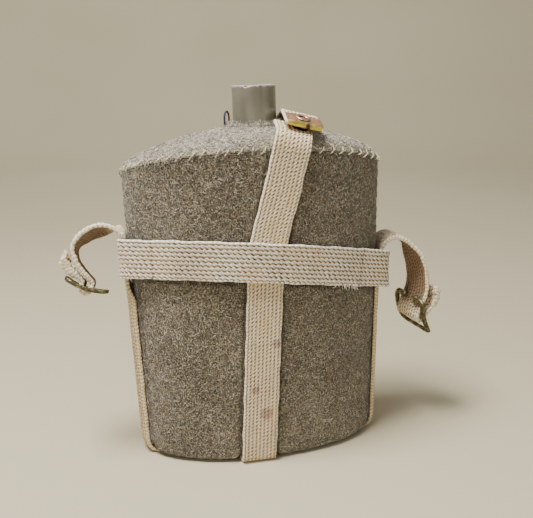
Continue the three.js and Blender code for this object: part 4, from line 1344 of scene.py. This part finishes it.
def make_tab(side):
    """A buckle tab in one piece: sewn flat behind the band, arched outwards, folded round the
    buckle's bar and doubled back on itself, where it is thickened and ends in a frayed edge."""
    x, z = tab_hinge(side)
    foot = band_height(x, 0) - 0.4
    sewn = [[x, 0, foot], [x, 0, mix(foot, z, 0.5)], [x, 0, z]]
    if side < 0:
        fold = fold_round(LEFT_BAR, LEFT_ACROSS, LEFT_DOWN, -0.2, np.pi + 0.2)
        arch = [
            [-84.2, 0, 147.6], [-88.2, 0, 148.6], [-93.5, 0, 148.6], [-99.5, 0, 147.4],
            [-105.0, 0, 144.6], [-109.2, 0, 140.8], [-111.4, 0, 136.2], [-110.9, -0.5, 130.5],
            [-108.4, -0.3, 124.5], [-105.2, -0.2, 119.5], [-102.7, -0.4, 115.6],
        ]
        stub = [
            [-108.3, 0.1, 117.6], [-111.8, 0.2, 121.0], [-115.2, 0, 124.6],
            [-117.7, 0, 129.4], [-118, 0, 135],
        ]
        roll = [[0, 1, 0], [0, 0.96, -0.28], [0, 0.88, -0.47]] + [[-0.05, 0.86, -0.52]] * 2
        roll += [[0, 0.88, -0.47], [0, 0.93, -0.36]]
        across = [[0, 1, 0]] * len(sewn) + roll
        name, body, nodes = "left", "left_tab", ("left_tab_sewn_end", "left_buckle_tab")
    else:
        fold = fold_round(RIGHT_BAR, RIGHT_ACROSS, RIGHT_DOWN, 1.75, -1.2)
        arch = [
            [84.2, 0, 129.9], [87.8, 0, 132.6], [92.8, -0.3, 133.2], [98.2, -1, 130.9],
            [103.3, -2, 126.3], [106.8, -2.5, 119.3], [109.2, -3, 111.5], [110.2, -3.5, 103.5],
            [109.6, -4, 95.5], [106.9, -4.3, 88.2], [104.4, -4.6, 82.6],
        ]
        stub = [[113.0, -3.3, 84.2], [116.3, -3.2, 87.8], [118.2, -3, 92.3], [117.6, -3, 97.6]]
        across = [[0, 1, 0]] * (len(sewn) + 5)
        name, body, nodes = "right", "right_tab", ("right_tab_sewn_end", "right_buckle_tab")
    route = sewn + arch + fold + stub
    end_across = list(LEFT_ACROSS if side < 0 else RIGHT_ACROSS)
    frames = strap_frames(route, across + [end_across] * (len(route) - len(across)))
    s = frames[0]
    puff = 1.3 + 1.3 * smooth(s, s[-1] - 20, s[-1] - 9) * (1 - smooth(s, s[-1] - 4, s[-1]))
    title = f"{name}_buckle_tab_web"
    piece = webbing(title, frames, STRAP_WIDTH, 6.0 + side, puff=puff, shaded_face=-side)
    dress(piece, None, strap_cloth, "webbing", *nodes)
    hinge_z = (z + 2) * MM
    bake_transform(piece)


# ---- brass ---------------------------------------------------------------------------------


def turned(profile, count=48):
    """[radius, height] pairs in closed order turned about the stud's axis and put in place."""
    profile = np.asarray(profile, float)
    angle = TURN * np.arange(count) / count
    radius, height = np.maximum(profile[:, 0], 0.02)[:, None], profile[:, 1][:, None]
    grid = np.stack([radius * np.cos(angle), radius * np.sin(angle), height + 0 * angle], -1)
    points = by_stud(grid.reshape(-1, 3))
    return points, grid_quads(len(profile), count, wrap_rows=True)


def make_snap():
    eyelet = [
        [2.15, -1.9], [2.3, -1.9], [2.3, 1.95], [3.2, 2.0], [4.1, 2.02], [4.45, 2.12],
        [4.5, 2.4], [4.3, 2.65], [3.9, 2.8], [3.3, 2.85], [2.8, 2.75], [2.4, 2.5], [2.2, 2.1],
    ]
    socket = [[3.6, -3.2], [4.6, -3.2], [5.0, -3.1], [5.2, -2.85], [5.2, -2.0], [3.6, -2.0]]
    stud = [
        [0, -6.6], [1.3, -6.6], [1.3, -3.9], [4.4, -3.9], [4.6, -3.75], [4.5, -3.55], [2.6, -3.5],
        [2.4, -3.3], [2.45, -3.1], [2.75, -2.75], [2.7, -2.5], [2.2, -2.25], [0, -2.2],
    ]
    washer = [[1.6, -6.95], [4.1, -6.95], [4.2, -6.85], [4.1, -6.6], [1.6, -6.6]]
    for name, profile, body, node in (
        ("snap_eyelet_ring", eyelet, FLAP, "snap_eyelet"),
        ("snap_socket_ring", socket, FLAP, "snap_socket"),
        ("snap_stud_turning", stud, ROOT, "snap_stud"),
        ("snap_washer_disc", washer, ROOT, "snap_washer"),
    ):
        points, quads = turned(profile)
        radius = np.repeat(np.asarray(profile, float)[:, 0], 48)
        level = np.repeat(np.asarray(profile, float)[:, 1], 48)
        # Painted shade: points near the axis, inside the hole, and round the foot of each ring are
        # darkened as if in shadow.
        stain = np.where((radius < 2.35) | ((radius > 4.3) & (level < 2.2)), 1.0, 0.0)
        metal = ring_brass if node == "snap_eyelet" else stud_brass
        dress(make_piece(name, points, quads, None, {"stain": stain}), body, metal, "brass", node)


def make_strap_tip():
    """The brass tip: a thin plate carried from the strap's top face, round its nose and back
    along its under face, narrowed at the nose so that the corners are round, and a little
    dented, with a rounded section throughout."""
    inside = HALF_WEB + 0.45
    nose = TIP_FRONT + 0.5
    turn = np.linspace(np.pi / 2, -np.pi / 2, 13)
    top = [[0, y, inside] for y in np.linspace(TIP_REAR - 1, -nose + inside, 9)[:-1]]
    bend = [[0, -nose + inside - inside * math.cos(a), inside * math.sin(a)] for a in turn]
    low = [[0, y, -inside] for y in np.linspace(-nose + inside, TIP_REAR - 1, 9)[1:]]
    line = np.array(top + bend + low, float)
    curve, place = curve_through(line, 8)
    s, centre, side, face = even_frames(curve, place, (1, 0, 0), 0.35)
    middle = s[-1] / 2
    corner = np.clip(1 - np.abs(s - middle) / 3.2, 0, 1)
    end = np.clip(1 - np.minimum(s, s[-1] - s) / 1.2, 0, 1)
    width = 21.8 - 1.8 * corner**2 - 1.4 * end**2
    t = np.sin(np.linspace(-np.pi / 2, np.pi / 2, 49))
    place_t = t[None] * width[:, None] / 2
    half = 0.24 * (1 - np.abs(t) ** 12)[None] * (1 - 0.5 * end[:, None] ** 4)
    spot = centre[:, None] + side[:, None] * place_t[..., None]
    dent = 0.10 * lumps(spot, 4.2, 21) + 0.05 * lumps(spot, 1.9, 22)
    crown = -0.35 * np.abs(t[None]) ** 6
    bow = (dent + crown)[..., None] * face[:, None]
    top_face = spot + bow + face[:, None] * half[..., None]
    low_face = spot + bow - face[:, None] * half[..., None]
    grid = np.concatenate([top_face, low_face[:, -2:0:-1]], 1)
    points, quads, tris = capped(grid)
    points[:, 0] += 1.1
    nose = bell(s - middle, 2.3)
    tone = np.concatenate([np.repeat(nose, grid.shape[1]), nose[[0, -1]]])
    stain = tone * bell(points[:, 0] - 2.6, 1.5)
    edge = np.maximum(end[:, None] ** 2, np.abs(t[None]) > 0.97) * (1 - nose[:, None])
    edge = np.concatenate([edge, edge[:, -2:0:-1]], 1)
    stain = np.maximum(stain, 0.5 * np.concatenate([edge.ravel(), [0, 0]]))
    values = {"tone": tone, "stain": stain}
    piece = make_piece("brass_strap_tip", by_stud(points), quads, tris, values)
    dress(piece, FLAP, tip_brass, "brass", "strap_tip")


def make_buckle(name, bar, across, down, body):
    """A tongueless buckle: a rounded rail goes from one horn's end round the frame to the
    other's, and a bar crosses its middle. The plate is bowed: each point is moved back by a
    share of its squared distance from the bar."""
    x = unit(across)
    y = unit(down - down @ x * x)
    z = np.cross(x, y)
    wide, long, horn, round_ = 13.7, 11.7, 5.0, 3.6
    line = [[-horn + 0.9, -long + 0.7, 0], [-horn - 0.4, -long, 0], [-horn - 2.4, -long, 0]]
    for sx, sy in ((-1, -1), (-1, 1), (1, 1), (1, -1)):
        before, after = ([sx * (wide - round_), sy * long], [sx * wide, sy * (long - round_)])
        if sx * sy < 0:
            before, after = after, before
        arc = quadratic(before, [sx * wide, sy * long], after, 7)
        line += [[a, b, 0] for a, b in arc]
    line += [[horn + 2.4, -long, 0], [horn + 0.4, -long, 0], [horn - 0.9, -long + 0.7, 0]]
    curve, place = curve_through(line, 6)
    s, centre, side, face = even_frames(curve, place, (0, 0, 1), 0.6)
    tip = np.minimum(s, s[-1] - s)
    scale = np.sqrt(np.clip(1 - (1 - np.clip(tip / 1.1, 0, 1)) ** 2, 0.02, 1))
    scale = scale * (1 + 0.3 * (1 - smooth(tip, 1.5, 5.0)))
    rail = ring_sweep((s, centre, side, face), rounded_section(2.6, 3.7, 20, 3.0), scale)
    cross = np.stack([np.linspace(-wide, wide, 25), np.zeros(25), np.zeros(25)], 1)
    middle = even_frames(cross, np.arange(25), (0, 0, 1), 1.0)
    beam = ring_sweep(middle, rounded_section(2.0, 2.6, 16, 2.6))
    parts, quads, tris, size = [], [], [], 0
    for grid in (rail, beam):
        p, q, t = capped(grid)
        parts.append(p)
        quads.append(q + size)
        tris.append(t + size)
        size += len(p)
    local = np.concatenate(parts)
    local[:, 2] -= 0.0125 * local[:, 1] ** 2 - 0.5
    points = bar + local @ np.stack([x, y, z])
    piece = make_piece(f"{name}_brass_buckle", points, np.concatenate(quads), np.concatenate(tris))
    dress(piece, body, buckle_brass, "brass", f"{name}_buckle")


# ---- everything in order -------------------------------------------------------------------

place_camera()
make_stage()
for node in ("bottle_wall", "bottle_shoulder", "bottle_base"):
    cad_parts[node].data.materials.clear()
    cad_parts[node].data.materials.append(enamel)
make_neck()
make_cord_eye()
seam_stitches = stitch_places()
side_felt = make_felt_side()
top_felt = make_felt_top(seam_stitches)
make_seam_stitches(seam_stitches)
make_rear_stitches()
make_felt_base()
make_nap(side_felt, top_felt)
make_long_cradle()
make_side_cradle()
make_band()
make_fray()
make_front_strap()
make_rear_strap()
make_tab(-1)
make_tab(1)
make_snap()
make_strap_tip()
make_buckle("left", LEFT_BAR, np.array([-0.045, 0.962, -0.268]), LEFT_DOWN, "left_buckle_frame")
make_buckle("right", RIGHT_BAR, RIGHT_ACROSS, RIGHT_DOWN, "right_buckle_frame")
